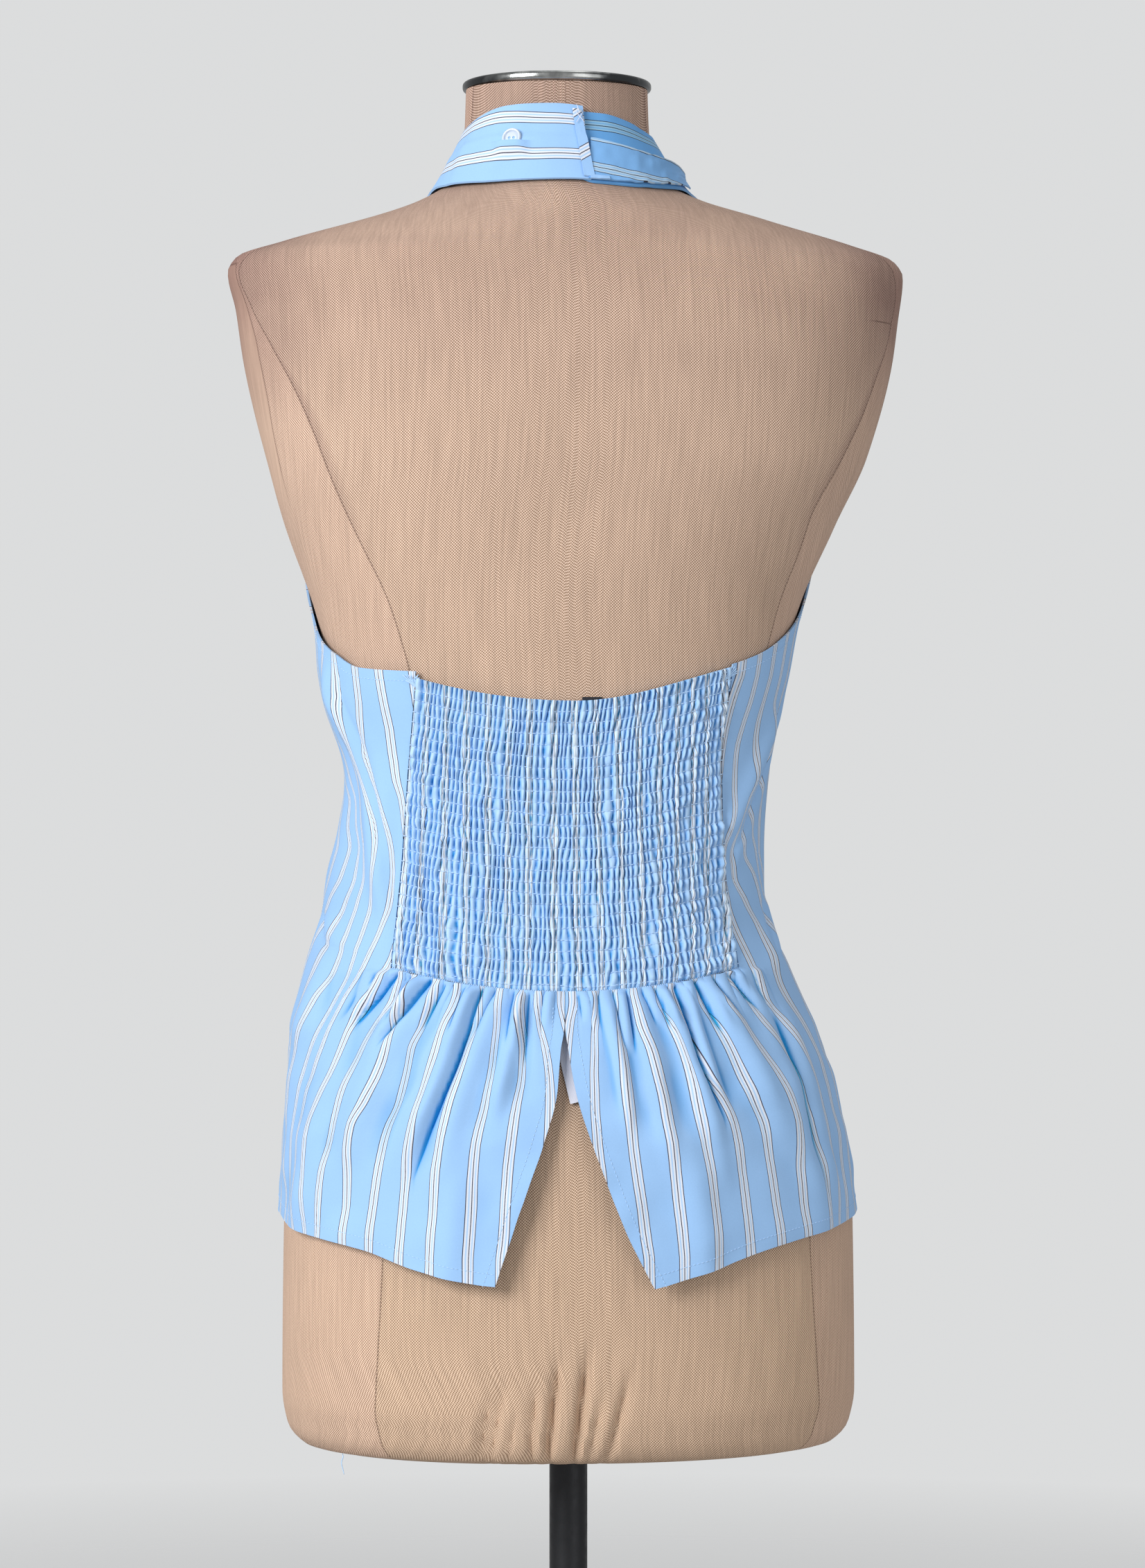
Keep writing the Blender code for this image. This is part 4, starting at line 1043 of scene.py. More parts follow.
@dataclass(frozen=True)
class CottonFinish:
    """Light poplin with woven stripes, with painted shade in deeper blue in its grooves, folds and shaded
    places and a painted highlight on its crests.
    """

    ground: Colour = (0.315, 0.525, 0.835, 1)
    white: Colour = (0.680, 0.725, 0.810, 1)
    pale: Colour = (0.410, 0.595, 0.845, 1)
    dark: Colour = (0.070, 0.062, 0.085, 1)
    # Colour that painted shade multiplies in.
    hollow: Colour = (0.03, 0.46, 0.72, 1)
    # Colour of the painted highlight on the shirring's ribs, and how strongly it is mixed in.
    crest: Colour = (0.62, 0.80, 0.95, 1)
    crest_share: float = 0.50
    roughness: float = 0.80
    shine: float = 0.22
    sheen: float = 0.03
    threads: float = 2600.0
    crumple: float = 55.0
    relief: float = 0.0006

    def build(self, groups: GroupLibrary) -> Material:
        """Makes the material."""
        material, sheet, shader = start_material("striped_poplin")
        cloth = sheet.map(CLOTH_MAP)
        weave = sheet.group(groups.weave, Vector=cloth, Threads=self.threads)
        finish = {
            "Base Color": self.colour(sheet, groups, cloth, weave),
            "Roughness": self.roughness,
            "Specular IOR Level": self.shine,
            "Sheen Weight": self.sheen,
        }
        sheet.fill(shader, finish)
        height = sheet.math("ADD", sheet.times(weave, 0.06), sheet.noise(cloth, self.crumple))
        add_bump(sheet, shader, height, self.relief, 0.5)
        return material

    def colour(
        self,
        sheet: NodeSheet,
        groups: GroupLibrary,
        cloth: NodeSocket,
        weave: NodeSocket,
    ) -> NodeSocket:
        """The stripes' colour, toned by the weave, with painted shade where the cloth lies in grooves, folds
        and shade, and a painted highlight on the shirring's ribs.
        """
        colours = {"Ground": self.ground, "White": self.white, "Pale": self.pale, "Dark": self.dark}
        stripes = sheet.group(groups.stripes, Vector=cloth, Repeat=STRIPE_REPEAT, **colours)
        tone = sheet.group(groups.mottle, Vector=cloth, Broad=28.0, Fine=900.0, Amount=0.09)
        colour = sheet.tint(stripes, sheet.times(tone, sheet.span(weave, 0, 1, 0.94, 1.04)))
        # Painted shade above 0 and painted highlight below 0, read from the map of painted light.
        depth = sheet.parts(sheet.map(PAINTED_LIGHT_MAP))[0]
        colour = sheet.mix(sheet.span(depth, -1, 0, self.crest_share, 0), colour, self.crest)
        return sheet.mix(depth, colour, sheet.tint(colour, self.hollow))


class CoverPlace(NamedTuple):
    """Where a point of the form's cover lies: on the cloth, in the object and beyond its seams."""

    cloth: NodeSocket
    place: NodeSocket
    x: NodeSocket
    z: NodeSocket
    beyond_back: NodeSocket
    beyond_front: NodeSocket
    on_plate: NodeSocket
    beyond_middle: NodeSocket


@dataclass(frozen=True)
class LinenFinish:
    """The form's coarse beige cover: dark between its threads, darker at the shoulder tips from wear and from
    painted shade.
    """

    raised: Colour = (0.812, 0.608, 0.495, 1)
    raised_low: Colour = (0.806, 0.600, 0.445, 1)
    sunk: Colour = (0.270, 0.165, 0.100, 1)
    # Colour between the threads where the cover shows wear and where shade is painted on the shoulders.
    sunk_worn: Colour = (0.135, 0.0825, 0.050, 1)
    plate: Colour = (0.560, 0.395, 0.300, 1)
    side_raised: Colour = (0.840, 0.620, 0.500, 1)
    side_sunk: Colour = (0.400, 0.235, 0.165, 1)
    seam_tone: Colour = (0.110, 0.055, 0.042, 1)
    # Tint for wear and for the painted shade on the shoulders.
    handled: Colour = (0.50, 0.41, 0.45, 1)
    roughness: float = 0.85
    shine: float = 0.2
    threads: float = 590.0
    streaks: tuple[float, float, float] = (560.0, 22.0, 1.0)
    seam_half_width: float = 0.0007
    neck_seam_half_width: float = 0.0005
    neck_seam_foot: float = 1.0
    dart_height: float = 0.917
    dart_half_width: float = 0.0006
    rim_half_width: float = 0.0011
    hole_pitch: float = 0.0022
    relief: float = 0.0004

    def build(self, groups: GroupLibrary) -> Material:
        """Makes the material."""
        material, sheet, shader = start_material("form_linen")
        at = self.places(sheet)
        weave = sheet.group(groups.weave, Vector=at.cloth, Threads=self.threads)
        above_foot = sheet.span(at.z, PLATE_FOOT + 0.004, PLATE_FOOT + 0.032, 0, 1)
        plate = sheet.times(sheet.span(at.on_plate, -0.0002, 0.0004, 0, 1), above_foot)
        off_plate = sheet.math("SUBTRACT", 1.0, plate)
        worn = self.worn(sheet, at)
        seam = sheet.times(self.seams(sheet, at), off_plate, self.holes(sheet, at))
        rim = sheet.times(sheet.line(at.on_plate, self.rim_half_width), above_foot, 0.55)
        colour = self.linen(sheet, groups, at, weave, plate, worn)
        colour = sheet.mix(sheet.most(sheet.times(seam, 0.85), rim), colour, self.seam_tone)
        # Darkened by wear and by the painted shade on the shoulders.
        finish = {
            "Base Color": sheet.mix(worn, colour, sheet.tint(colour, self.handled)),
            "Roughness": self.roughness,
            "Specular IOR Level": self.shine,
        }
        sheet.fill(shader, finish)
        height = sheet.math("SUBTRACT", sheet.times(weave, off_plate), sheet.times(seam, 2.0))
        add_bump(sheet, shader, height, self.relief, 0.6)
        return material

    @staticmethod
    def places(sheet: NodeSheet) -> CoverPlace:
        """Reads the cover's maps."""
        place = sheet.place()
        x, _, z = sheet.parts(place)
        back, front, _ = sheet.parts(sheet.map(SEAM_MAP))
        plate, middle, _ = sheet.parts(sheet.map(PLATE_MAP))
        return CoverPlace(sheet.map(CLOTH_MAP), place, x, z, back, front, plate, middle)

    def linen(
        self,
        sheet: NodeSheet,
        groups: GroupLibrary,
        at: CoverPlace,
        weave: NodeSocket,
        plate: NodeSocket,
        worn: NodeSocket,
    ) -> NodeSocket:
        """The threads' colour, lighter on the sides, plain on the arm plate and streaked lengthwise."""
        sides = (sheet.span(at.beyond_back, 0, 0.001, 0, 1), sheet.span(at.beyond_front, -0.001, 0, 1, 0))
        side = sheet.times(*sides)
        deep = sheet.mix(worn, self.sunk, self.sunk_worn)
        deep = sheet.mix(sheet.times(side, 0.35), deep, self.side_sunk)
        high = sheet.mix(sheet.span(at.z, 0.30, 0.90, 0, 1), self.raised_low, self.raised)
        high = sheet.mix(sheet.times(side, 0.5), high, self.side_raised)
        colour = sheet.mix(sheet.span(weave, 0.30, 0.72, 0, 1), deep, high)
        colour = sheet.mix(plate, colour, self.plate)
        amount = sheet.span(plate, 0, 1, 0.14, 0.08)
        tone = sheet.group(groups.mottle, Vector=at.cloth, Broad=14.0, Fine=420.0, Amount=amount)
        stretched = sheet.add("ShaderNodeVectorMath", operation="MULTIPLY")
        for socket, value in zip(stretched.inputs, (at.cloth, self.streaks)):
            sheet.put(socket, value)
        streaks = sheet.span(sheet.noise(stretched.outputs[0], 1.0, 2.0), 0.3, 0.7, 0.90, 1.09)
        return sheet.tint(colour, sheet.times(tone, streaks))

    def seams(self, sheet: NodeSheet, at: CoverPlace) -> NodeSocket:
        """The lines of the side seams, the neck's middle seam and the short dart at the right shoulder."""
        sides = [sheet.line(away, self.seam_half_width) for away in (at.beyond_back, at.beyond_front)]
        above = sheet.span(at.z, self.neck_seam_foot, self.neck_seam_foot + 0.004, 0, 0.6)
        neck = sheet.times(sheet.line(at.beyond_middle, self.neck_seam_half_width), above)
        level = sheet.line(sheet.math("SUBTRACT", at.z, self.dart_height), self.dart_half_width)
        reach = sheet.span(at.beyond_back, -0.026, -0.020, 0, 1)
        right = sheet.math("GREATER_THAN", at.x, 0)
        inside = sheet.math("LESS_THAN", at.beyond_back, 0)
        return sheet.most(*sides, neck, sheet.times(level, reach, right, inside, 0.8))

    def holes(self, sheet: NodeSheet, at: CoverPlace) -> NodeSocket:
        """The seam's stitch holes, as dark and light steps up the cover."""
        up = sheet.parts(at.cloth)[1]
        return sheet.span(sheet.math("SINE", sheet.times(up, math.tau / self.hole_pitch)), -0.4, 0.5, 0.45, 1)

    @staticmethod
    def worn(sheet: NodeSheet, at: CoverPlace) -> NodeSocket:
        """How much the cover is darkened, most at the shoulder tips and along the back seams: partly wear
        from handling, partly painted shade on the shoulders.
        """
        out = sheet.math("ABSOLUTE", at.x)
        patches = sheet.span(sheet.noise(at.place, 15.0, 5.0), 0.36, 0.66, 0, 1)
        tips = sheet.times(
            sheet.span(out, 0.112, 0.180, 0, 1),
            sheet.span(at.z, 0.850, 0.930, 0, 1),
            sheet.span(at.on_plate, -0.040, -0.004, 0.75, 1),
            sheet.span(patches, 0, 1, 0.6, 1),
        )
        # Wear and painted shade in blotches, stronger towards the top of the shoulders.
        faint = sheet.times(sheet.span(patches, 0, 1, 0.5, 1), sheet.span(at.z, 0.86, 0.97, 0.01, 0.40))
        beside = sheet.times(
            sheet.span(at.beyond_back, -0.008, -0.001, 0, 1),
            sheet.span(at.beyond_back, -0.0005, 0.0015, 1, 0),
            sheet.span(at.z, 0.74, 0.90, 0, 0.55),
        )
        return sheet.most(tips, faint, beside)


@dataclass(frozen=True)
class MetalFinish:
    """Metal with fine rubs, a little grime and, where it has them, painted reflections as bright patches."""

    name: str
    colour: Colour
    roughness: float
    metallic: float = 1.0
    grime: float = 0.25
    bright: Colour | None = None

    def build(self, groups: GroupLibrary) -> Material:
        """Makes the material."""
        material, sheet, shader = start_material(self.name)
        place = sheet.place()
        tone = sheet.group(groups.mottle, Vector=place, Broad=40.0, Fine=700.0, Amount=self.grime)
        colour = self.colour
        # Painted reflections: bright patches mixed into the metal's colour.
        if self.bright is not None:
            patches = sheet.span(sheet.noise(place, 26.0, 4.0), 0.47, 0.60, 0, 1)
            colour = sheet.mix(patches, colour, self.bright)
        rubs = sheet.noise(place, 160.0, 5.0)
        roughness = sheet.span(rubs, 0.3, 0.7, self.roughness * 0.75, self.roughness * 1.35)
        finish = {"Base Color": sheet.tint(colour, tone), "Metallic": self.metallic, "Roughness": roughness}
        sheet.fill(shader, finish)
        add_bump(sheet, shader, rubs, 0.00005, 0.25)
        return material


@dataclass(frozen=True)
class ResinFinish:
    """Moulded resin of the button."""

    colour: Colour = (0.560, 0.625, 0.730, 1)
    roughness: float = 0.32
    coat: float = 0.3

    def build(self, groups: GroupLibrary) -> Material:
        """Makes the material."""
        material, sheet, shader = start_material("button_resin")
        place = sheet.place()
        tone = sheet.group(groups.mottle, Vector=place, Broad=300.0, Fine=1500.0, Amount=0.08)
        colour = sheet.tint(self.colour, tone)
        sheet.fill(shader, {"Base Color": colour, "Roughness": self.roughness, "Coat Weight": self.coat})
        add_bump(sheet, shader, sheet.noise(place, 900.0), 0.00003, 0.3)
        return material


@dataclass(frozen=True)
class ThreadFinish:
    """Twisted sewing thread or satin tape, lighter along its strands."""

    name: str
    colour: Colour
    roughness: float = 0.55
    strands: float = 2400.0
    sheen: float = 0.1

    def build(self, groups: GroupLibrary) -> Material:
        """Makes the material."""
        material, sheet, shader = start_material(self.name)
        weave = sheet.group(groups.weave, Vector=sheet.place(), Threads=self.strands)
        colour = sheet.tint(self.colour, sheet.span(weave, 0, 1, 0.86, 1.06))
        sheet.fill(shader, {"Base Color": colour, "Roughness": self.roughness, "Sheen Weight": self.sheen})
        add_bump(sheet, shader, weave, 0.0001, 0.4)
        return material


class Wardrobe:
    """Every material of the scene, built once."""

    def __init__(self) -> None:
        """Builds the materials."""
        groups = GroupLibrary()
        self.cotton = CottonFinish().build(groups)
        self.linen = LinenFinish().build(groups)
        # The cap's bright patches are painted reflections.
        chrome = MetalFinish("cap_chrome", (0.07, 0.075, 0.08, 1), 0.19, bright=(0.50, 0.51, 0.50, 1))
        self.chrome = chrome.build(groups)
        self.black_metal = MetalFinish("pole_black", (0.022, 0.023, 0.026, 1), 0.42, 0.6).build(groups)
        self.resin = ResinFinish().build(groups)
        self.sewing_thread = ThreadFinish("sewing_thread", (0.47, 0.68, 0.94, 1)).build(groups)
        self.white_tape = ThreadFinish("white_label_tape", (0.74, 0.75, 0.84, 1), 0.6, 1500).build(groups)
        self.black_tape = ThreadFinish("black_label_tape", (0.015, 0.015, 0.02, 1), 0.5, 1500).build(groups)


def hand_over(piece: Object, material: Material, slot: Slot, *nodes: str) -> Object:
    """Gives a piece its finish, puts it under the root and hides the solids that it stands for."""
    piece.data.materials.clear()
    piece.data.materials.append(material)
    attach(piece, "root")
    if nodes:
        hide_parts(*nodes)
    LOG.info("%s: %d faces", piece.name, len(piece.data.polygons))
    return piece


# ---------------------------------------------------------------- stitches


def stitch_tree() -> NodeTree:
    """Geometry Nodes that lay rounded stitches at an even pitch along a mesh's edges."""
    geometry = {"Geometry": "NodeSocketGeometry"}
    measures = dict.fromkeys(("Pitch", "Length", "Thickness"), FLOAT)
    inputs = geometry | measures | {"Material": "NodeSocketMaterial"}
    sheet, source, sink = start_group(GEOMETRY_GROUP, "running_stitch", inputs, geometry)
    curve = sheet.add("GeometryNodeMeshToCurve")
    sheet.put(curve.inputs[0], source.outputs["Geometry"])
    points = sheet.add("GeometryNodeCurveToPoints", mode="LENGTH")
    sheet.fill(points, {"Curve": curve.outputs[0], "Length": source.outputs["Pitch"]})
    turn = sheet.add("FunctionNodeAlignRotationToVector", axis="X")
    sheet.put(turn.inputs["Vector"], points.outputs["Tangent"])
    bead = sheet.add("GeometryNodeMeshUVSphere")
    sheet.fill(bead, {"Segments": 6, "Rings": 4, "Radius": 0.5})
    size = sheet.add("ShaderNodeCombineXYZ")
    for axis, name in enumerate(("Length", "Thickness", "Thickness")):
        sheet.put(size.inputs[axis], source.outputs[name])
    copies = sheet.add("GeometryNodeInstanceOnPoints")
    stitches = {"Points": points.outputs["Points"], "Instance": bead.outputs["Mesh"]}
    sheet.fill(copies, stitches | {"Rotation": turn.outputs[0], "Scale": size.outputs[0]})
    real = sheet.add("GeometryNodeRealizeInstances")
    sheet.put(real.inputs[0], copies.outputs[0])
    finish = sheet.add("GeometryNodeSetMaterial")
    sheet.fill(finish, {"Geometry": real.outputs[0], "Material": source.outputs["Material"]})
    sheet.put(sink.inputs[0], finish.outputs[0])
    return sheet.tree


@dataclass
class StitchRun:
    """Rows of stitches along paths that lie on a piece.

    Attributes:
        name: The piece's name.
        paths: Each row's points.
        pitch: From one stitch to the next.
        length: Of one stitch.
        thickness: Of the thread.
    """

    name: str
    paths: list[Grid]
    pitch: float = 0.0026
    length: float = 0.0020
    thickness: float = 0.00042

    def build(self, tree: NodeTree, material: Material) -> Object:
        """Runs the stitch nodes on the paths and keeps the plain mesh."""
        mesh = bpy.data.meshes.new(self.name + "_path")
        points, edges = [], []
        for path in self.paths:
            start = len(points)
            points += path.tolist()
            edges += [(i, i + 1) for i in range(start, len(points) - 1)]
        mesh.from_pydata(points, edges, [])
        guide = link_object(self.name + "_path", mesh)
        nodes = guide.modifiers.new("stitches", "NODES")
        nodes.node_group = tree
        values = {"Pitch": self.pitch, "Length": self.length, "Thickness": self.thickness}
        values["Material"] = material
        for item in tree.interface.items_tree:
            if item.in_out == "INPUT" and item.name in values:
                nodes[item.identifier] = values[item.name]
        made = evaluated_mesh(guide)
        bpy.data.objects.remove(guide)
        made.shade_smooth()
        return hand_over(link_object(self.name, made), material, Slot.COTTON)


# ---------------------------------------------------------------- the top


class FlatCut(NamedTuple):
    """What a piece of cloth measured when it was cut."""

    width: float
    length: float
    area: float | None = None

    @property
    def size(self) -> tuple[float, float]:
        """Its width and length."""
        return self.width, self.length


@dataclass
class SidePiece:
    """One side of the top: a plain panel under the arm that runs down into half the peplum."""

    side: Side
    stripes: tuple[StripeLine, ...]
    cut: FlatCut
    gather_columns: int = 170
    panel_columns: int = 84
    panel_rows: int = 78
    peplum_rows: int = 96
    fold_reach: float = 0.13
    seam_hold: float = 0.012
    split_lift: float = 0.003
    split_lift_reach: float = math.radians(9)
    gather_count: int = 17
    gather_height: float = 0.0034
    gather_reach: float = 0.0150
    soft_wave: float = 0.0011
    edge_stitch: float = 0.0070
    grid: Grid = field(init=False, repr=False)
    present: NDArray[np.bool_] = field(init=False, repr=False)

    @property
    def sign(self) -> int:
        """-1 on the photographed left and 1 on the right."""
        return self.side.value

    @property
    def name(self) -> str:
        """The solid that this piece stands for."""
        return f"{self.side.word}_side_and_peplum"

    def edge_angle(self, x: Grid | float, height: Grid | float) -> Grid:
        """Angle of a point of the back, counted outwards on this side."""
        return self.sign * SHAPE.back_angle(x, height)

    def smock_edge(self, height: Grid | float) -> Grid:
        """Angle of the shirring's side edge."""
        x = table_value(SMOCK_EDGES, "height", self.side.word, height)
        return self.edge_angle(x + self.sign * SEAM_GAP / 2, height)

    def rim(self, table: tuple[Rim, ...], angle: Grid) -> Grid:
        """Height of the top edge or the hem."""
        return table_value(table, "angle", self.side.word, np.degrees(np.abs(angle)))

    def layout(self) -> tuple[Grid, Grid, Grid, float]:
        """Outward angles, heights and distances from the shirring, and the corner's angle."""
        seam = SIDE_SEAM - SIDE_SEAM_HALF_GAP
        corner_height = WAIST_HEIGHT - SEAM_GAP / 2
        corner = float(self.smock_edge(corner_height))
        shares = np.linspace(0, 1, self.panel_columns)
        fractions = np.linspace(0, 1, self.panel_rows)[:-1, None]
        edges = self.smock_edge(SIDE_TOP + (corner_height - SIDE_TOP) * fractions)
        angles = edges + (seam - edges) * shares
        tops = self.rim(TOP_EDGE, angles)
        heights = tops + (corner_height - tops) * fractions
        away = (angles - edges) * self.fold_reach
        pad = self.gather_columns
        upper = [np.pad(part, ((0, 0), (pad, 0)), "edge") for part in (angles, heights, away)]
        fractions = np.linspace(0, 1, self.peplum_rows)[:, None] ** 1.15
        spread = 1 + FAN * fractions
        hem = self.rim(HEM, np.radians(18))
        edge_heights = SMOCK_BOTTOM_MIDDLE + (hem - SMOCK_BOTTOM_MIDDLE) * fractions
        edge_x = table_value(SPLIT_EDGES, "height", self.side.word, edge_heights)
        start = self.edge_angle(edge_x, edge_heights) / spread
        under = start + (corner - start) * np.linspace(0, 1, pad + 1)[:-1]
        fans = np.concatenate([under, corner + (seam / spread - corner) * shares], axis=1)
        seam_line = self.seam_height(fans, corner)
        drops = self.rim(HEM, fans * spread) - seam_line
        lower_heights = seam_line + drops * fractions
        lower_away = np.hypot(np.maximum(fans - corner, 0) * self.fold_reach, seam_line - lower_heights)
        lower = [fans * spread, lower_heights, lower_away]
        angles, heights, away = (np.concatenate(pair) for pair in zip(upper, lower))
        present = np.ones((len(angles) - 1, angles.shape[1] - 1), bool)
        present[: self.panel_rows - 1, :pad] = False
        self.present = present
        return angles, heights, away, corner

    def seam_height(self, fans: Grid, corner: float) -> Grid:
        """Height of the seam above the peplum: the shirring's foot, then level to the side."""
        level = np.full(fans.shape, WAIST_HEIGHT)
        points = SHAPE.place(self.sign * fans, level)
        line = SMOCK_BOTTOM_MIDDLE + SMOCK_DIP * (points[..., 0] / SMOCK_HALF) ** 2 - SEAM_GAP / 2
        flat = WAIST_HEIGHT - SEAM_GAP / 2
        return np.where(np.abs(fans) < corner - 1e-6, np.minimum(line, flat), flat)

    def gathers(self, fans: Grid, drop: Grid, corner: float) -> Grid:
        """Fine gathers between the traced ones, gone a few centimetres below the seam."""
        share = fans / corner
        turns = self.gather_count * share + 0.45 * Noise(11).at(9 * share, 7 * drop / PEPLUM_LENGTH)
        wave = np.abs(np.sin(math.pi * turns)) ** 0.5
        number, level = np.floor(turns), np.zeros(share.shape)
        size = 1 + 0.55 * Noise(13).at(number * 0.77, level)
        reach = self.gather_reach * (1 + 0.75 * Noise(12).at(number * 1.31, level))
        inside = blend(0.0, 0.05, share) * (1 - blend(1.0, 1.2, share))
        fine = self.gather_height * wave * size * np.exp(-((drop / reach) ** 1.3)) * inside
        soft = 1 + Noise(14).at(9 * share, 10 * drop / PEPLUM_LENGTH)
        return fine + self.soft_wave * soft * blend(0.012, 0.04, drop)

    @staticmethod
    def hollows(rise: Grid, reach: int, full: float) -> Grid:
        """How far each point lies below the cloth beside it in its row, from 0 to 1."""
        beside = np.mean([np.roll(rise, step, axis=1) for step in range(-reach, reach + 1)], axis=0)
        return blend(0.1, 1.0, (beside - rise) / full)

    def build(self, wardrobe: Wardrobe) -> Object:
        """Makes the piece with its stripes."""
        outward, heights, away, corner = self.layout()
        angles = self.sign * outward
        drop = np.maximum(WAIST_HEIGHT - heights, 0)
        spread = 1 + FAN * np.clip(drop / PEPLUM_LENGTH, 0, 1)
        below = blend(0.0, 0.003, drop)
        radius = SHAPE.radius(angles, heights)
        fans = np.abs(angles) / spread
        rise = self.gathers(fans, drop, corner) * below
        hold = blend(0, self.seam_hold, away)
        near_hold = blend(0, self.seam_hold / 3, away)
        rise = rise + fold_rise(angles, heights) * hold + crease_rise(angles, heights, radius) * near_hold
        lift = self.split_lift * bell(fans, self.split_lift_reach) * blend(0.05, 0.15, drop)
        rise = np.maximum(rise + lift, -0.6 * (radius - SHAPE.form.radius(angles, heights)))
        inner = SHAPE.place(angles, heights, rise)
        outer = inner + level_ways(inner) * WALL
        cloth = np.stack([stripe_cloth(outward, heights, radius, self.stripes), -heights], axis=-1)
        self.grid = outer
        # Painted shade in the hollows of the gathers and folds, gone right at the seam.
        hollow = 0.90 * self.hollows(rise, 5, 0.0012) + 0.30 * self.hollows(rise, 22, 0.0034)
        hollow = np.clip(hollow, 0, 1) * blend(0.001, 0.006, drop)
        piece = ClothWall(self.name + "_cloth", outer, inner, cloth, self.present, depth=hollow).build()
        hand_over(piece, wardrobe.cotton, Slot.COTTON, self.name)
        self.cut.size
        return piece

    def stitch_paths(self) -> list[Grid]:
        """Rows of topstitching along the hem, the split edge and the top edge."""
        lifted = self.grid + level_ways(self.grid) * THREAD_LIFT
        peplum = lifted[self.panel_rows - 1 :]
        hem = inset_path(peplum[::-1], HEM_STITCH)
        columns = peplum.transpose(1, 0, 2)
        split = inset_path(columns[:60], self.edge_stitch)[8:]
        top = inset_path(lifted[: self.panel_rows, self.gather_columns :], TOP_STITCH)
        return [hem[6:], split, top]


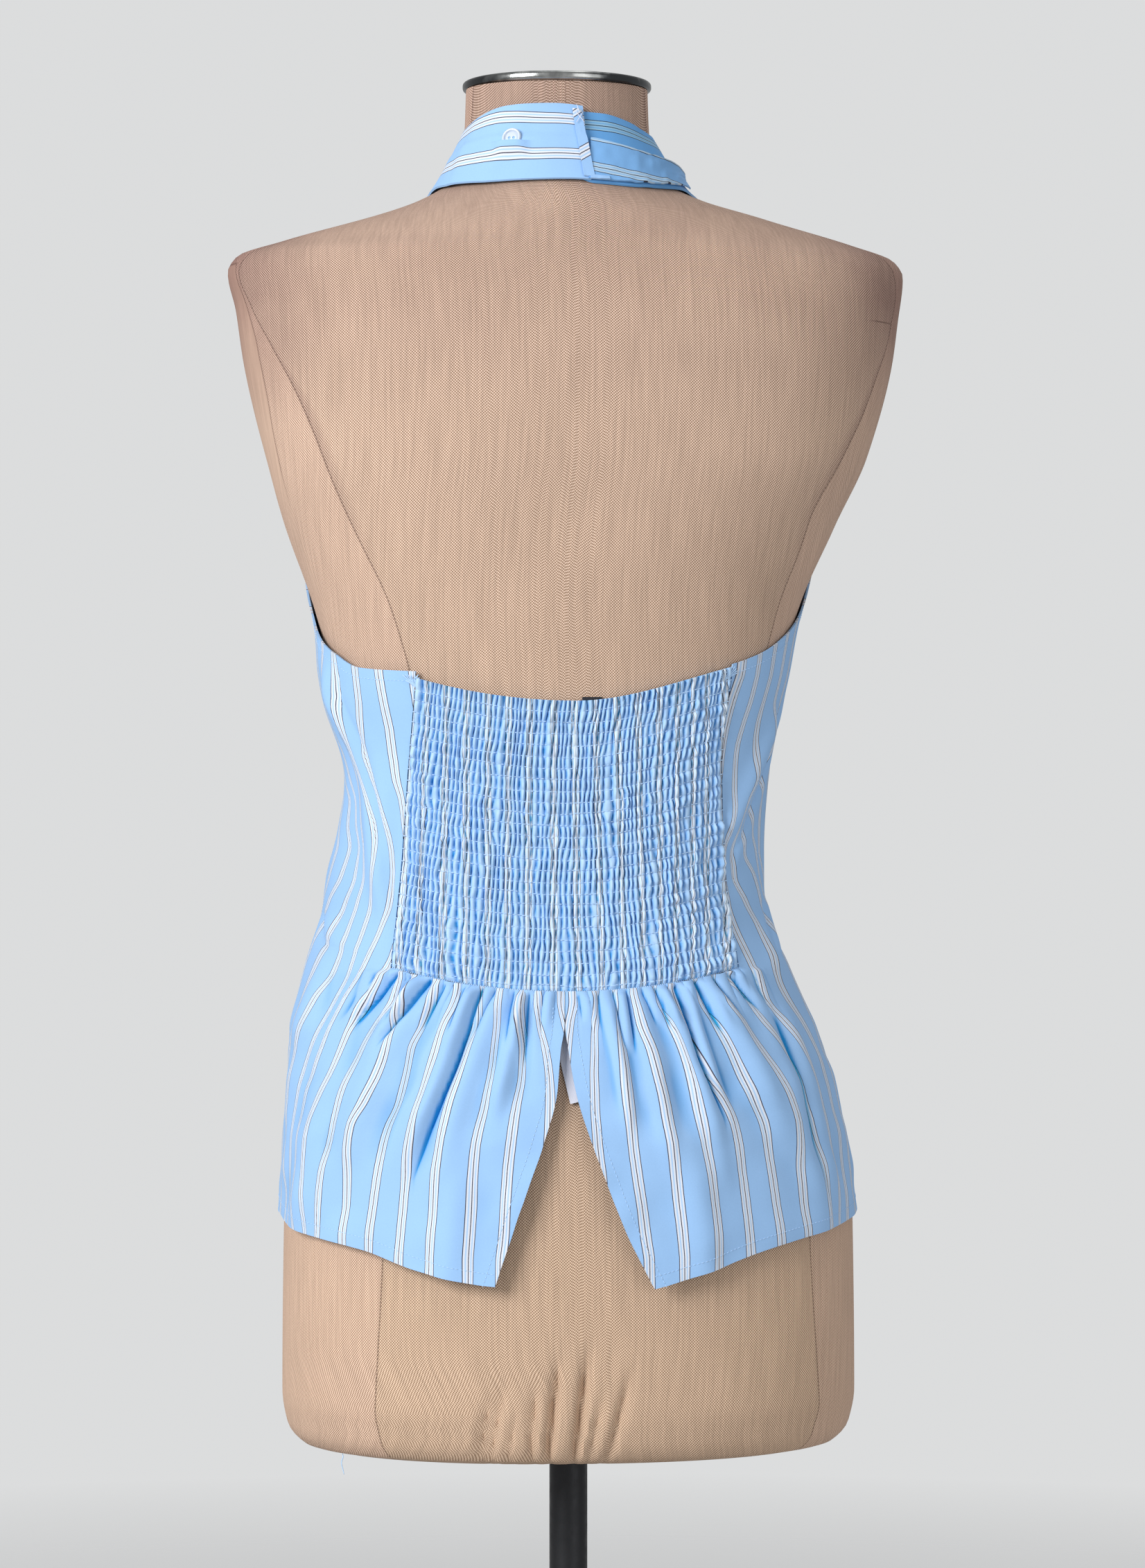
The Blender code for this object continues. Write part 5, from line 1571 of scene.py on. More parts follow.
@dataclass
class ShirredBack:
    """The shirred panel: cloth drawn up into uneven ribs by rows of elastic thread."""

    cut: FlatCut = FlatCut(0.322, 0.182)
    ribs: int = 60
    samples: int = 7
    rib_height: float = 0.0034
    row_pitch: float = 0.0067
    row_steps: tuple[float, ...] = (0.0, 0.13, 0.36, 0.64, 0.87)
    pinch: float = 0.42
    pinch_width: float = 0.0010
    foot_pinch: float = 0.88
    foot_pinch_width: float = 0.0012
    # How far the painted shade in the grooves closes at each elastic, and over what width.
    groove_close: float = 0.9
    groove_close_width: float = 0.0014
    right_rise: float = 0.0078
    thread_wave: float = 0.0009
    tuft_lift: float = 0.0012
    grid: Grid = field(init=False, repr=False)

    THREAD_ENDS = (0.004, 0.996)
    LAST_THREAD = 0.985
    # Places of the stripes in the photograph, in its pixels, at the top edge and at the foot.
    PHOTO_MIDDLE = 826
    PHOTO_MIDDLE_X = 0.0025
    PHOTO_PIXEL = 0.000407
    STRIPES_TOP = (595, 618, 646, 674, 705, 734, 764, 799, 828, 858, 889, 919, 950, 977, 999, 1018, 1042)
    STRIPES_FOOT = (580, 604, 640, 674, 705, 732, 760, 799, 834, 868, 899, 926, 951, 972, 996, 1017, 1045)

    @property
    def length(self) -> float:
        """From the top edge down to the peplum's seam."""
        return SMOCK_TOP_MIDDLE - SMOCK_BOTTOM_MIDDLE

    def levels(self) -> Grid:
        """Fractions down the panel of its rows of points, closer at each row of elastic."""
        ruffle = SMOCK_RUFFLE / self.length
        rows = [0.0, 0.5 * ruffle]
        at = ruffle
        step = self.row_pitch / self.length
        while at < 1 - 0.3 * step:
            rows += [at + step * part for part in self.row_steps]
            at += step
        rows = [row for row in rows if row < 0.997]
        return np.array(rows + [1.0])

    def layout(self, across: Grid, down: Grid) -> tuple[Grid, Grid]:
        """Angles and heights at fractions across and down the panel."""
        left = table_value(SMOCK_EDGES, "height", "left", WAIST_HEIGHT)
        right = table_value(SMOCK_EDGES, "height", "right", WAIST_HEIGHT)
        bow = SMOCK_DIP * ((left + (right - left) * across) / SMOCK_HALF) ** 2
        heights = (SMOCK_TOP_MIDDLE + bow + self.right_rise * blend(0.52, 1.0, across)) * (1 - down)
        heights = heights + (SMOCK_BOTTOM_MIDDLE + bow + SEAM_GAP / 2) * down
        low = table_value(SMOCK_EDGES, "height", "left", heights) + SMOCK_SIDE_GAP
        high = table_value(SMOCK_EDGES, "height", "right", heights) - SMOCK_SIDE_GAP
        return SHAPE.back_angle(low + (high - low) * across, heights), heights

    def relief(self, across: Grid, down: Grid) -> tuple[Grid, Grid]:
        """Height of the ribs, pinched at each elastic, and the painted shade and highlight on them.

        Args:
            across: Fractions across the panel.
            down: Fractions down it.

        Returns:
            Heights of the ribs, and painted light on them: 1 for full painted shade in the grooves, -1 for a
            full painted highlight on the ribs' tops.
        """
        row = (down * self.length - SMOCK_RUFFLE) / self.row_pitch
        place = across * self.ribs
        sway = 0.34 * Noise(21).at(place / 2.3, row / 2.2) + 0.22 * Noise(22).at(place / 1.1, row * 0.9)
        uneven = 0.55 * Noise(25).at(place / 3.1, row * 0.12) + 0.5 * Noise(26).at(place / 7.0, row * 0.05)
        phase = place + (sway + uneven) * blend(0, 0.02, across) * blend(0, 0.02, 1 - across)
        rib = np.abs(np.sin(math.pi * phase)) ** 0.75
        number = np.floor(phase)
        size = 0.85 + 0.42 * Noise(23).at(number * 1.37, row * 0.8)
        size = size * (1 + 0.2 * Noise(24).at(number * 0.31, row * 2.1))
        off = (row - np.round(row)) * self.row_pitch
        below_ruffle = blend(-0.6, -0.2, row)
        pinch = 1 - self.pinch * bell(off, self.pinch_width) * below_ruffle
        pinch = pinch * (1 - self.foot_pinch * bell((1 - down) * self.length, self.foot_pinch_width))
        # Painted shade in the grooves between ribs, closed at each elastic, and a painted highlight on the
        # ribs' tops.
        closed = self.groove_close * bell(off, self.groove_close_width) * below_ruffle
        groove_shade = (1 - blend(0.22, 0.78, rib)) * (1 - closed)
        groove_shade = groove_shade * np.clip(0.85 + 0.4 * Noise(27).at(np.round(phase) * 0.9, row * 0.7), 0.3, 1)
        crest = blend(0.72, 1.0, rib) * np.clip(0.75 + 0.5 * Noise(28).at(number * 0.8, row * 1.3), 0, 1)
        return self.rib_height * rib * size * pinch, groove_shade - crest

    def build(self, wardrobe: Wardrobe) -> Object:
        """Makes the panel."""
        columns = np.linspace(0, 1, self.ribs * self.samples + 1)
        rows = self.levels()
        across, down = np.meshgrid(columns, rows)
        angles, heights = self.layout(across, down)
        inner = SHAPE.place(angles, heights)
        relief, groove_shade = self.relief(across, down)
        outer = inner + level_ways(inner) * (WALL + relief)[..., None]
        self.grid = outer
        cloth = np.stack([self.stripe_widths(across, down, relief, inner), -heights], axis=-1)
        coarse = [0] + list(range(6, len(rows) - 4, 10)) + [len(rows) - 1]
        piece = ClothWall("smocked_back_cloth", outer, inner, cloth, inner_rows=coarse, depth=groove_shade).build()
        hand_over(piece, wardrobe.cotton, Slot.COTTON, "smocked_back")
        self.cut.size
        return piece

    def stripe_widths(self, across: Grid, down: Grid, relief: Grid, inner: Grid) -> Grid:
        """Metres across the drawn-up cloth, following it over each rib."""
        stripes = np.array((self.STRIPES_TOP, self.STRIPES_FOOT))
        numbers = np.arange(len(self.STRIPES_TOP))
        cloth = np.zeros(across.shape)
        for i in range(len(across)):
            x = inner[i, :, 0]
            t = float(down[i, 0])
            pixels = stripes[0] * (1 - t) + stripes[1] * t
            places = (pixels - self.PHOTO_MIDDLE) * self.PHOTO_PIXEL + self.PHOTO_MIDDLE_X
            run = np.hypot(np.diff(x), 0.55 * np.diff(relief[i]))
            run = np.concatenate([[0], np.cumsum(run)])
            at = np.interp(places, x, run)
            past_ends = np.minimum(run - at[0], 0) + np.maximum(run - at[-1], 0)
            cloth[i] = np.interp(run, at, numbers * STRIPE_REPEAT) + past_ends
        return cloth

    def thread_paths(self) -> list[Grid]:
        """One row of elastic thread at each pinch, lying across the ribs."""
        across = np.linspace(*self.THREAD_ENDS, 3 * self.ribs)[None, :]
        ruffle, step = SMOCK_RUFFLE / self.length, self.row_pitch / self.length
        lift = self.rib_height * (0.80 - self.pinch * 0.62)
        paths = []
        for number in range(int((self.LAST_THREAD - ruffle) / step) + 1):
            wave = self.thread_wave * Noise(31 + number).at(across * 9, np.zeros(across.shape)) / self.length
            paths.append(self.path(across, ruffle + number * step + wave, lift))
        LOG.info("%d rows of elastic", len(paths))
        return paths

    def path(self, across: Grid, down: Grid, lift: float, drop: float = 0.0) -> Grid:
        """One row of points on the panel, lifted off its cloth and lowered by a drop."""
        angles, heights = self.layout(across, down)
        inner = SHAPE.place(angles, heights - drop)
        return (inner + level_ways(np.repeat(inner, 2, axis=0))[:1] * (WALL + lift))[0]

    def seam_paths(self) -> list[Grid]:
        """The seam's thread, along the gap between the shirring and the peplum."""
        across = np.linspace(*self.THREAD_ENDS, 4 * self.ribs)[None, :]
        return [self.path(across, np.ones(across.shape), THREAD_LIFT, SEAM_GAP)]

    def tuft_paths(self) -> list[Grid]:
        """Frayed ends that stand up from the two top corners, and one that hangs off the form's foot."""
        paths = []
        starts = ((-0.0903, 0.6985), (-0.0885, 0.6970), (0.0905, 0.7010), (0.0935, 0.7035))
        for number, (x, z) in enumerate(starts):
            for end in range(9):
                turn = math.radians(-52 + 13 * end + 7 * (number % 2))
                length = 0.0040 + 0.0007 * ((end * 5 + number * 3) % 6)
                steps = np.linspace(0, 1, 4)
                along = x + length * math.sin(turn) * steps**1.4
                up = z + length * math.cos(turn) * steps
                rise = WALL + self.tuft_lift * (1 + steps)
                paths.append(SHAPE.place(SHAPE.back_angle(along, up), up, rise))
        return [*paths, self.foot_thread()]

    @staticmethod
    def foot_thread() -> Grid:
        """The thread that hangs off the form's foot on the left."""
        levels = np.array((0.0022, 0.0, -0.0035, -0.0075, -0.0105)) + FORM[0].height
        held = np.full(len(levels), FORM[0].height + 0.002)
        angle = SHAPE.back_angle(np.full(len(levels), -0.1363), held)
        points = SHAPE.form.place(angle, levels, SHAPE.form.radius(angle, held) + 0.0004)
        points[:, 0] += (0.0, 0.0004, -0.0006, 0.0003, 0.0010)
        return points


@dataclass
class FrontPiece:
    """The square-necked front, plain above and fluted below the waist."""

    cut: FlatCut = FlatCut(0.42, 0.45, 0.165)
    columns: int = 150
    rows: int = 110
    flutes: int = 9
    flute_height: float = 0.0050
    flute_top: float = 0.560
    flute_full: float = 0.380
    slack_height: float = 0.0016
    grid: Grid = field(init=False, repr=False)

    def build(self, wardrobe: Wardrobe) -> Object:
        """Makes the piece with its stripes upright from the middle of the front."""
        seam = SIDE_SEAM + SIDE_SEAM_HALF_GAP
        across = np.linspace(seam, math.tau - seam, self.columns)
        angle, fraction = np.meshgrid(across, np.linspace(0, 1, self.rows))
        right = angle < math.pi
        signed = np.where(right, angle, angle - math.tau)
        degrees = np.degrees(np.abs(signed))
        top, hem = (
            np.where(right, *(table_value(table, "angle", side, degrees) for side in ("right", "left")))
            for table in (TOP_EDGE, HEM)
        )
        height = top + (hem - top) * fraction
        turns = self.flutes * (angle - seam) / (math.tau - 2 * seam)
        grow = 1 - blend(self.flute_full, self.flute_top, height)
        uneven = 1 + 0.35 * Noise(41).at(turns * 0.9, height * 6)
        rise = self.flute_height * (0.5 - 0.5 * np.cos(math.tau * turns)) * grow * uneven
        slack = blend(0.35, 0.5, fraction) * (1 - blend(0.9, 1.0, np.abs(turns / self.flutes - 0.5) * 2))
        rise = rise + self.slack_height * Noise(42).at(turns * 1.3, height * 14 + turns) * slack
        inner = SHAPE.place(signed, height, rise)
        outer = inner + level_ways(inner) * WALL
        plain = SHAPE.place(signed, np.maximum(height, WAIST_HEIGHT))
        run = np.linalg.norm(np.diff(plain, axis=1), axis=2)
        run = np.concatenate([np.zeros((self.rows, 1)), np.cumsum(run, axis=1)], axis=1)
        across = run - run[:, self.columns // 2 : self.columns // 2 + 1] + STRIPE_REPEAT / 2
        piece = ClothWall("front_cloth", outer, inner, np.stack([across, -height], axis=-1)).build()
        self.grid = outer
        hand_over(piece, wardrobe.cotton, Slot.COTTON, "front")
        self.cut.size
        return piece

    def stitch_paths(self) -> list[Grid]:
        """Topstitching along the hem and the neckline."""
        lifted = self.grid + level_ways(self.grid) * THREAD_LIFT
        return [inset_path(lifted[::-1], HEM_STITCH), inset_path(lifted, TOP_STITCH)]


# The stretch, in fractions of a strap's length, over which it comes into the shade behind the neck.
BEHIND_NECK = (0.42, 0.60)


class Place(NamedTuple):
    """A value at a fraction of the strap's length."""

    at: float
    value: float


def along_strap(*pairs: tuple[float, float]) -> tuple[Place, ...]:
    """Places from pairs of a fraction and a value."""
    return tuple(Place(*pair) for pair in pairs)


def steady(value: float) -> tuple[Place, ...]:
    """The same value all along a strap."""
    return along_strap((0, value), (1, value))


def running_length(points: Grid, axis: int) -> Grid:
    """Metres run along each line of a grid of points, from 0 at its start."""
    run = np.cumsum(np.linalg.norm(np.diff(points, axis=axis), axis=-1), axis=axis)
    return np.concatenate([np.zeros_like(run.take([0], axis=axis)), run], axis=axis)


def soften(grid: Grid, rounds: int) -> Grid:
    """A grid of points or ways, averaged a little with its neighbours a few times."""
    for _ in range(rounds):
        padded = np.pad(grid, ((1, 1), (1, 1), (0, 0)), "reflect", reflect_type="odd")
        beside = padded[:-2, 1:-1] + padded[2:, 1:-1] + padded[1:-1, :-2] + padded[1:-1, 2:]
        grid = 0.5 * grid + 0.125 * beside
    return grid


def place_curve(places: Sequence[Place], at: Grid | float) -> Grid:
    """The values of a list of places, joined smoothly."""
    return smooth_curve([place.at for place in places], [place.value for place in places], at)


@dataclass
class NeckStrap:
    """A strap from the front neckline up over the shoulder and round the back of the neck.

    Attributes:
        side: Which strap it is.
        ends: Where it ends, as a fraction of the table's length.
        gap: How far its inside stands off the form where the two straps cross.
        cut: Its flat size.
        stripe: How far across it its first stripe runs, along its length.
        spread: Metres of cloth across it, along its length.
        fold: How far across it a soft lengthwise fold runs, along its length.
        fold_height: Height of that fold.
        button: What it is buttoned on, where it has the buttonhole.
        shade: How deep it lies in shade behind the neck.
        tuck: How much narrower it is where it runs under the other strap.
    """

    side: Side
    ends: float
    gap: float
    cut: FlatCut
    stripe: tuple[Place, ...]
    spread: tuple[Place, ...]
    fold: tuple[Place, ...]
    fold_height: float
    button: "Button | None" = None
    shade: float = 0.0
    tuck: float = 0.0
    softening: int = 5
    rows: int = 250
    start_gap: float = 0.0012
    crossing: tuple[float, float] = (0.50, 0.68)
    tucked: tuple[float, float] = (0.755, 0.80)
    ridge_widths: tuple[float, float] = (0.0035, 0.011)
    wave_height: float = 0.0007
    base: Grid = field(init=False, repr=False)
    ways: Grid = field(init=False, repr=False)

    @property
    def name(self) -> str:
        """The solid that this piece stands for."""
        return f"{self.side.word}_strap"

    def edges(self, at: Grid) -> tuple[Grid, Grid]:
        """The strap's two edges at fractions of the table's length."""
        keys = np.linspace(0, 1, len(STRAP))
        columns = {
            name: smooth_curve(keys, [getattr(station, name) for station in STRAP], at)
            for name in Station._fields
        }
        columns["inner_z"] = columns["inner_z"] - columns["right_drop"] * (self.side is Side.RIGHT)
        lines = []
        for edge in ("inner", "outer"):
            z = columns[edge + "_z"]
            x = SHAPE.form.column("shift", z) + self.side.value * columns[edge + "_out"]
            lines.append(np.stack([x, columns[edge + "_y"], z], axis=-1))
        return lines[0], lines[1]

    def lay(self, tree: BVHTree, at: Grid, shares: Grid) -> tuple[Grid, Grid]:
        """Lays a grid of points on the form, straight across where the form curves inward.

        Args:
            tree: The form's surface.
            at: Fractions of the table's length, one to each row.
            shares: Fractions across the strap, rows by columns.

        Returns:
            The points of the strap's inside and the ways out of them.
        """
        edge_in, edge_out = self.edges(at)
        gaps = self.start_gap + (self.gap - self.start_gap) * blend(*self.crossing, at)
        points, ways, chords = (np.zeros((*shares.shape, 3)) for _ in range(3))
        for row in range(len(at)):
            ends = [tree.find_nearest(Vector(edge[row])) for edge in (edge_in, edge_out)]
            ends = [np.array(found + normal * gaps[row]) for found, normal, _, _ in ends]
            for column, share in enumerate(shares[row]):
                between = edge_in[row] * (1 - share) + edge_out[row] * share
                found, normal, _, _ = tree.find_nearest(Vector(between))
                points[row, column] = found + normal * gaps[row]
                ways[row, column] = normal
                chords[row, column] = ends[0] * (1 - share) + ends[1] * share
        lift = np.maximum(np.sum((chords - points) * ways, axis=-1, keepdims=True), 0)
        ways = soften(ways, self.softening)
        unit_ways = ways / np.linalg.norm(ways, axis=-1, keepdims=True)
        return soften(points + ways * lift, self.softening), unit_ways

    def shares(self) -> Grid:
        """Fractions across the strap of its columns, closer together at the button's line."""
        spans = ((0, 0.42, 16), (0.42, 0.56, 21), (0.56, 1, 17))
        return np.concatenate([*(np.linspace(*span, endpoint=False) for span in spans), [1.0]])

    def relief(self, at: Grid, shares: Grid, points: Grid) -> Grid:
        """Height of the lengthwise fold, the soft waves and the lip over the button."""
        middle = place_curve(self.fold, at)[:, None]
        off = (shares - middle) * self.cut.width
        ridge = bell(off, np.where(off < 0, *self.ridge_widths))
        back = blend(0.5, 0.62, at)[:, None]
        waves = self.wave_height * Noise(51 + self.side.value).at(at[:, None] * 26, shares * 2.6)
        rise = self.fold_height * ridge * back + waves * (0.35 + 0.65 * back)
        if self.button is not None:
            seat, _ = self.button.seat(self)
            x_off = points[..., 0] - seat[0]
            z_off = seat[2] - self.button.above_line - points[..., 2]
            over = np.exp(-((x_off / self.button.lip_half_width) ** 4)) * blend(-0.0002, 0.0006, z_off)
            rise = rise + self.button.lip_rise * over * (1 - blend(0.0035, 0.0150, z_off))
        return np.maximum(rise, 0)

    def build(self, wardrobe: Wardrobe, tree: BVHTree) -> Object:
        """Makes the strap with its stripes running along it."""
        at = np.linspace(0, self.ends, self.rows)
        shares = self.shares() * (1 - self.tuck * blend(*self.tucked, at))[:, None]
        self.base, self.ways = self.lay(tree, at, shares)
        inner = self.base + self.ways * self.relief(at, shares, self.base)[..., None]
        outer = inner + self.ways * WALL
        across = (shares - place_curve(self.stripe, at)[:, None]) * place_curve(self.spread, at)[:, None]
        along = running_length(self.base[:, : shares.shape[1] // 2], 0)[:, -1:]
        cloth = np.stack([across, np.broadcast_to(along, across.shape)], axis=-1)
        shade = np.broadcast_to(self.shade * blend(*BEHIND_NECK, at)[:, None], across.shape)
        piece = ClothWall(self.name + "_cloth", outer, inner, cloth, depth=shade).build()
        return hand_over(piece, wardrobe.cotton, Slot.COTTON, self.name)

    def declare(self, piece: Object, beside: list[Object]) -> None:
        """Reads how the strap was cut and does nothing more."""
        self.cut.size


@dataclass
class StrapLayer:
    """A turned or crumpled second layer of a strap, laid over it.

    Attributes:
        name: The piece's name.
        strap: The strap that it lies on.
        start: Where it starts, as a fraction of the strap table's length.
        stop: Where it ends.
        upper: How far across the strap its upper edge runs.
        lower: The same for its lower edge.
        stripe: How far across the strap its stripe runs.
        spread: Metres of cloth across the strap.
        roll: How far its upper edge is rolled up.
        slant: How far its stripes are turned from the strap's length, in radians.
        lean: How far its start and end lean along the strap, from edge to edge.
        shade: How deep it lies in shade.
    """

    name: str
    strap: NeckStrap
    start: float
    stop: float
    upper: tuple[Place, ...]
    lower: tuple[Place, ...]
    stripe: float
    spread: float = 0.0425
    roll: float = 0.0022
    slant: float = 0.0
    lean: float = 0.0
    shade: float = 0.0
    rows: int = 90
    columns: int = 30
    clear: float = 0.0004
    roll_width: float = 0.006
    wave_height: float = 0.0006
    thinness: float = 0.8

    def build(self, wardrobe: Wardrobe, tree: BVHTree) -> Object:
        """Makes the layer over the strap's own surface."""
        at = np.linspace(self.start, self.stop, self.rows)
        high, low = place_curve(self.upper, at)[:, None], place_curve(self.lower, at)[:, None]
        across = np.linspace(0, 1, self.columns)[None, :] ** 1.3
        shares = high + (low - high) * across
        points, ways = self.strap.lay(tree, at, shares)
        shift = np.gradient(points, at, axis=0) * (self.lean * (across - 0.5))[..., None]
        points = points + shift
        under = self.strap.relief(at, shares, points)
        roll = self.roll * np.exp(-running_length(points, 1) / self.roll_width)
        done = ((at - self.start) / (self.stop - self.start))[:, None]
        held = (0.4 + 0.6 * blend(0, 0.08, done)) * (1 - 0.5 * blend(0.85, 1, done))
        wave = self.wave_height * Noise(61).at(at[:, None] * 60, across * 3) * blend(0.0, 0.3, across)
        rise = under + WALL + self.clear + np.maximum(roll * held + wave, 0)
        inner = points + ways * rise[..., None]
        outer = inner + ways * WALL * self.thinness
        place = (shares - self.stripe) * self.spread
        along = np.broadcast_to(running_length(points[:, :1], 0), place.shape)
        turn = (math.cos(self.slant), math.sin(self.slant))
        cloth = np.stack([turn[0] * place + turn[1] * along, turn[0] * along - turn[1] * place], axis=-1)
        shade = np.broadcast_to(self.shade * blend(*BEHIND_NECK, at)[:, None], place.shape)
        piece = ClothWall(self.name, outer, inner, cloth, depth=shade).build()
        return hand_over(piece, wardrobe.cotton, Slot.COTTON)


@dataclass
class Button:
    """The two-hole button, pushed through the upper strap's buttonhole."""

    near: Point = (-0.0362, -0.066, 1.0275)
    radius: float = 0.0060
    thickness: float = 0.0024
    hole_radius: float = 0.0009
    hole_apart: float = 0.0028
    clear: float = 0.0006
    above_line: float = 0.0021
    lip_half_width: float = 0.0090
    lip_rise: float = 0.0035

    def profile(self) -> Outline:
        """The button's outline: a dished face inside a rounded rim."""
        share = (
            (0.00, 0.62), (0.48, 0.62), (0.58, 0.58), (0.64, 0.50), (0.70, 0.62), (0.76, 0.90), (0.84, 1.00),
            (0.92, 0.98), (0.97, 0.86), (1.00, 0.68), (1.00, 0.34), (0.97, 0.14), (0.90, 0.0), (0.0, 0.0),
        )  # fmt: skip
        return [(self.radius * out, self.thickness * up) for out, up in share]

    def seat(self, strap: NeckStrap) -> tuple[Grid, Grid]:
        """The middle of the button's back and the way that it faces."""
        outside = (strap.base + strap.ways * WALL).reshape(-1, 3)
        nearest = int(np.argmin(np.linalg.norm(outside - self.near, axis=1)))
        way = strap.ways.reshape(-1, 3)[nearest]
        return outside[nearest] + way * self.clear, way

    def build(self, strap: NeckStrap, wardrobe: Wardrobe) -> Object:
        """Makes the button with its two holes, on the strap."""
        place, way = self.seat(strap)
        turn = Vector(way).to_track_quat("Z", "Y").to_matrix().to_4x4()
        turn.translation = Vector(place)
        piece = TurnedPiece("button", self.profile(), segments=64).make()
        for offset in (-0.5, 0.5):
            outline = [(0, 0.01), (self.hole_radius, 0.01), (self.hole_radius, -0.01), (0, -0.01)]
            hole = TurnedPiece("hole", outline, (offset * self.hole_apart, 0), 20).make()
            cut = piece.modifiers.new("hole", "BOOLEAN")
            cut.object = hole
            mesh = evaluated_mesh(piece)
            piece.modifiers.clear()
            piece.data = mesh
            bpy.data.objects.remove(hole)
        piece.data.transform(turn)
        piece.data.set_sharp_from_angle(angle=math.radians(35))
        return hand_over(piece, wardrobe.resin, Slot.RESIN, "button")


@dataclass
class TapeLabel:
    """A plain strip of label tape that follows the form, with a slight curl."""

    node: str
    middle: float
    top: float
    width: float
    length: float
    tilt: float = 0.0
    curl: float = 0.0
    thickness: float = 0.0006
    gap: float = 0.0007
    columns: int = 16
    rows: int = 40

    def build(self, material: Material, slot: Slot) -> Object:
        """Makes the label with its foot curled off the form."""
        across, along = np.meshgrid(np.linspace(-0.5, 0.5, self.columns), np.linspace(0, 1, self.rows))
        sideways, down = across * self.width, along * self.length
        x = self.middle + sideways * math.cos(self.tilt) + down * math.sin(self.tilt)
        z = self.top - down * math.cos(self.tilt) + sideways * math.sin(self.tilt)
        angles = SHAPE.back_angle(x, z)
        lift = self.curl * along**3 + 0.4 * self.curl * np.cos(3.0 * across) * along
        inner = SHAPE.form.place(angles, z, SHAPE.form.radius(angles, z) + self.gap + lift)
        outer = inner + level_ways(inner) * self.thickness
        piece = ClothWall(self.node + "_tape", outer, inner, np.stack([sideways, down], axis=-1)).build()
        hand_over(piece, material, slot, self.node)
        return piece


@dataclass
class ThreadEnds:
    """Loose threads and tacks: round threads along short curves.

    Attributes:
        name: The piece's name.
        paths: Points along each thread.
        radius: Of the thread.
    """

    name: str
    paths: list[Grid]
    radius: float = 0.00022
    sides: int = 6

    def build(self, material: Material) -> Object:
        """Makes every thread as a closed tube that thins at its ends."""
        points: list[Grid] = []
        faces: list[Face] = []
        for path in self.paths:
            steps = np.linspace(0, 1, 3 * len(path))
            keys = np.linspace(0, 1, len(path))
            line = np.stack([smooth_curve(keys, path[:, axis], steps) for axis in range(3)], axis=-1)
            run = np.gradient(line, axis=0)
            first = np.cross(run, (0.31, 0.9, 0.17))
            first /= np.linalg.norm(first, axis=1, keepdims=True)
            second = np.cross(run, first)
            second /= np.linalg.norm(second, axis=1, keepdims=True)
            start = sum(len(part) for part in points)
            turns = np.linspace(0, math.tau, self.sides, endpoint=False)[:, None]
            for i, thin in enumerate(0.45 + 0.55 * np.sin(math.pi * steps) ** 0.4):
                circle = np.cos(turns) * first[i] + np.sin(turns) * second[i]
                points.append(line[i] + self.radius * thin * circle)
            for ring in range(len(steps) - 1):
                for side in range(self.sides):
                    beside = (side + 1) % self.sides
                    low, high = start + ring * self.sides, start + (ring + 1) * self.sides
                    faces.append((low + side, low + beside, high + beside, high + side))
            last = start + (len(steps) - 1) * self.sides
            faces.append(tuple(reversed(range(start, start + self.sides))))
            faces.append(tuple(range(last, last + self.sides)))
        return hand_over(new_object(self.name, np.concatenate(points), faces), material, Slot.COTTON)


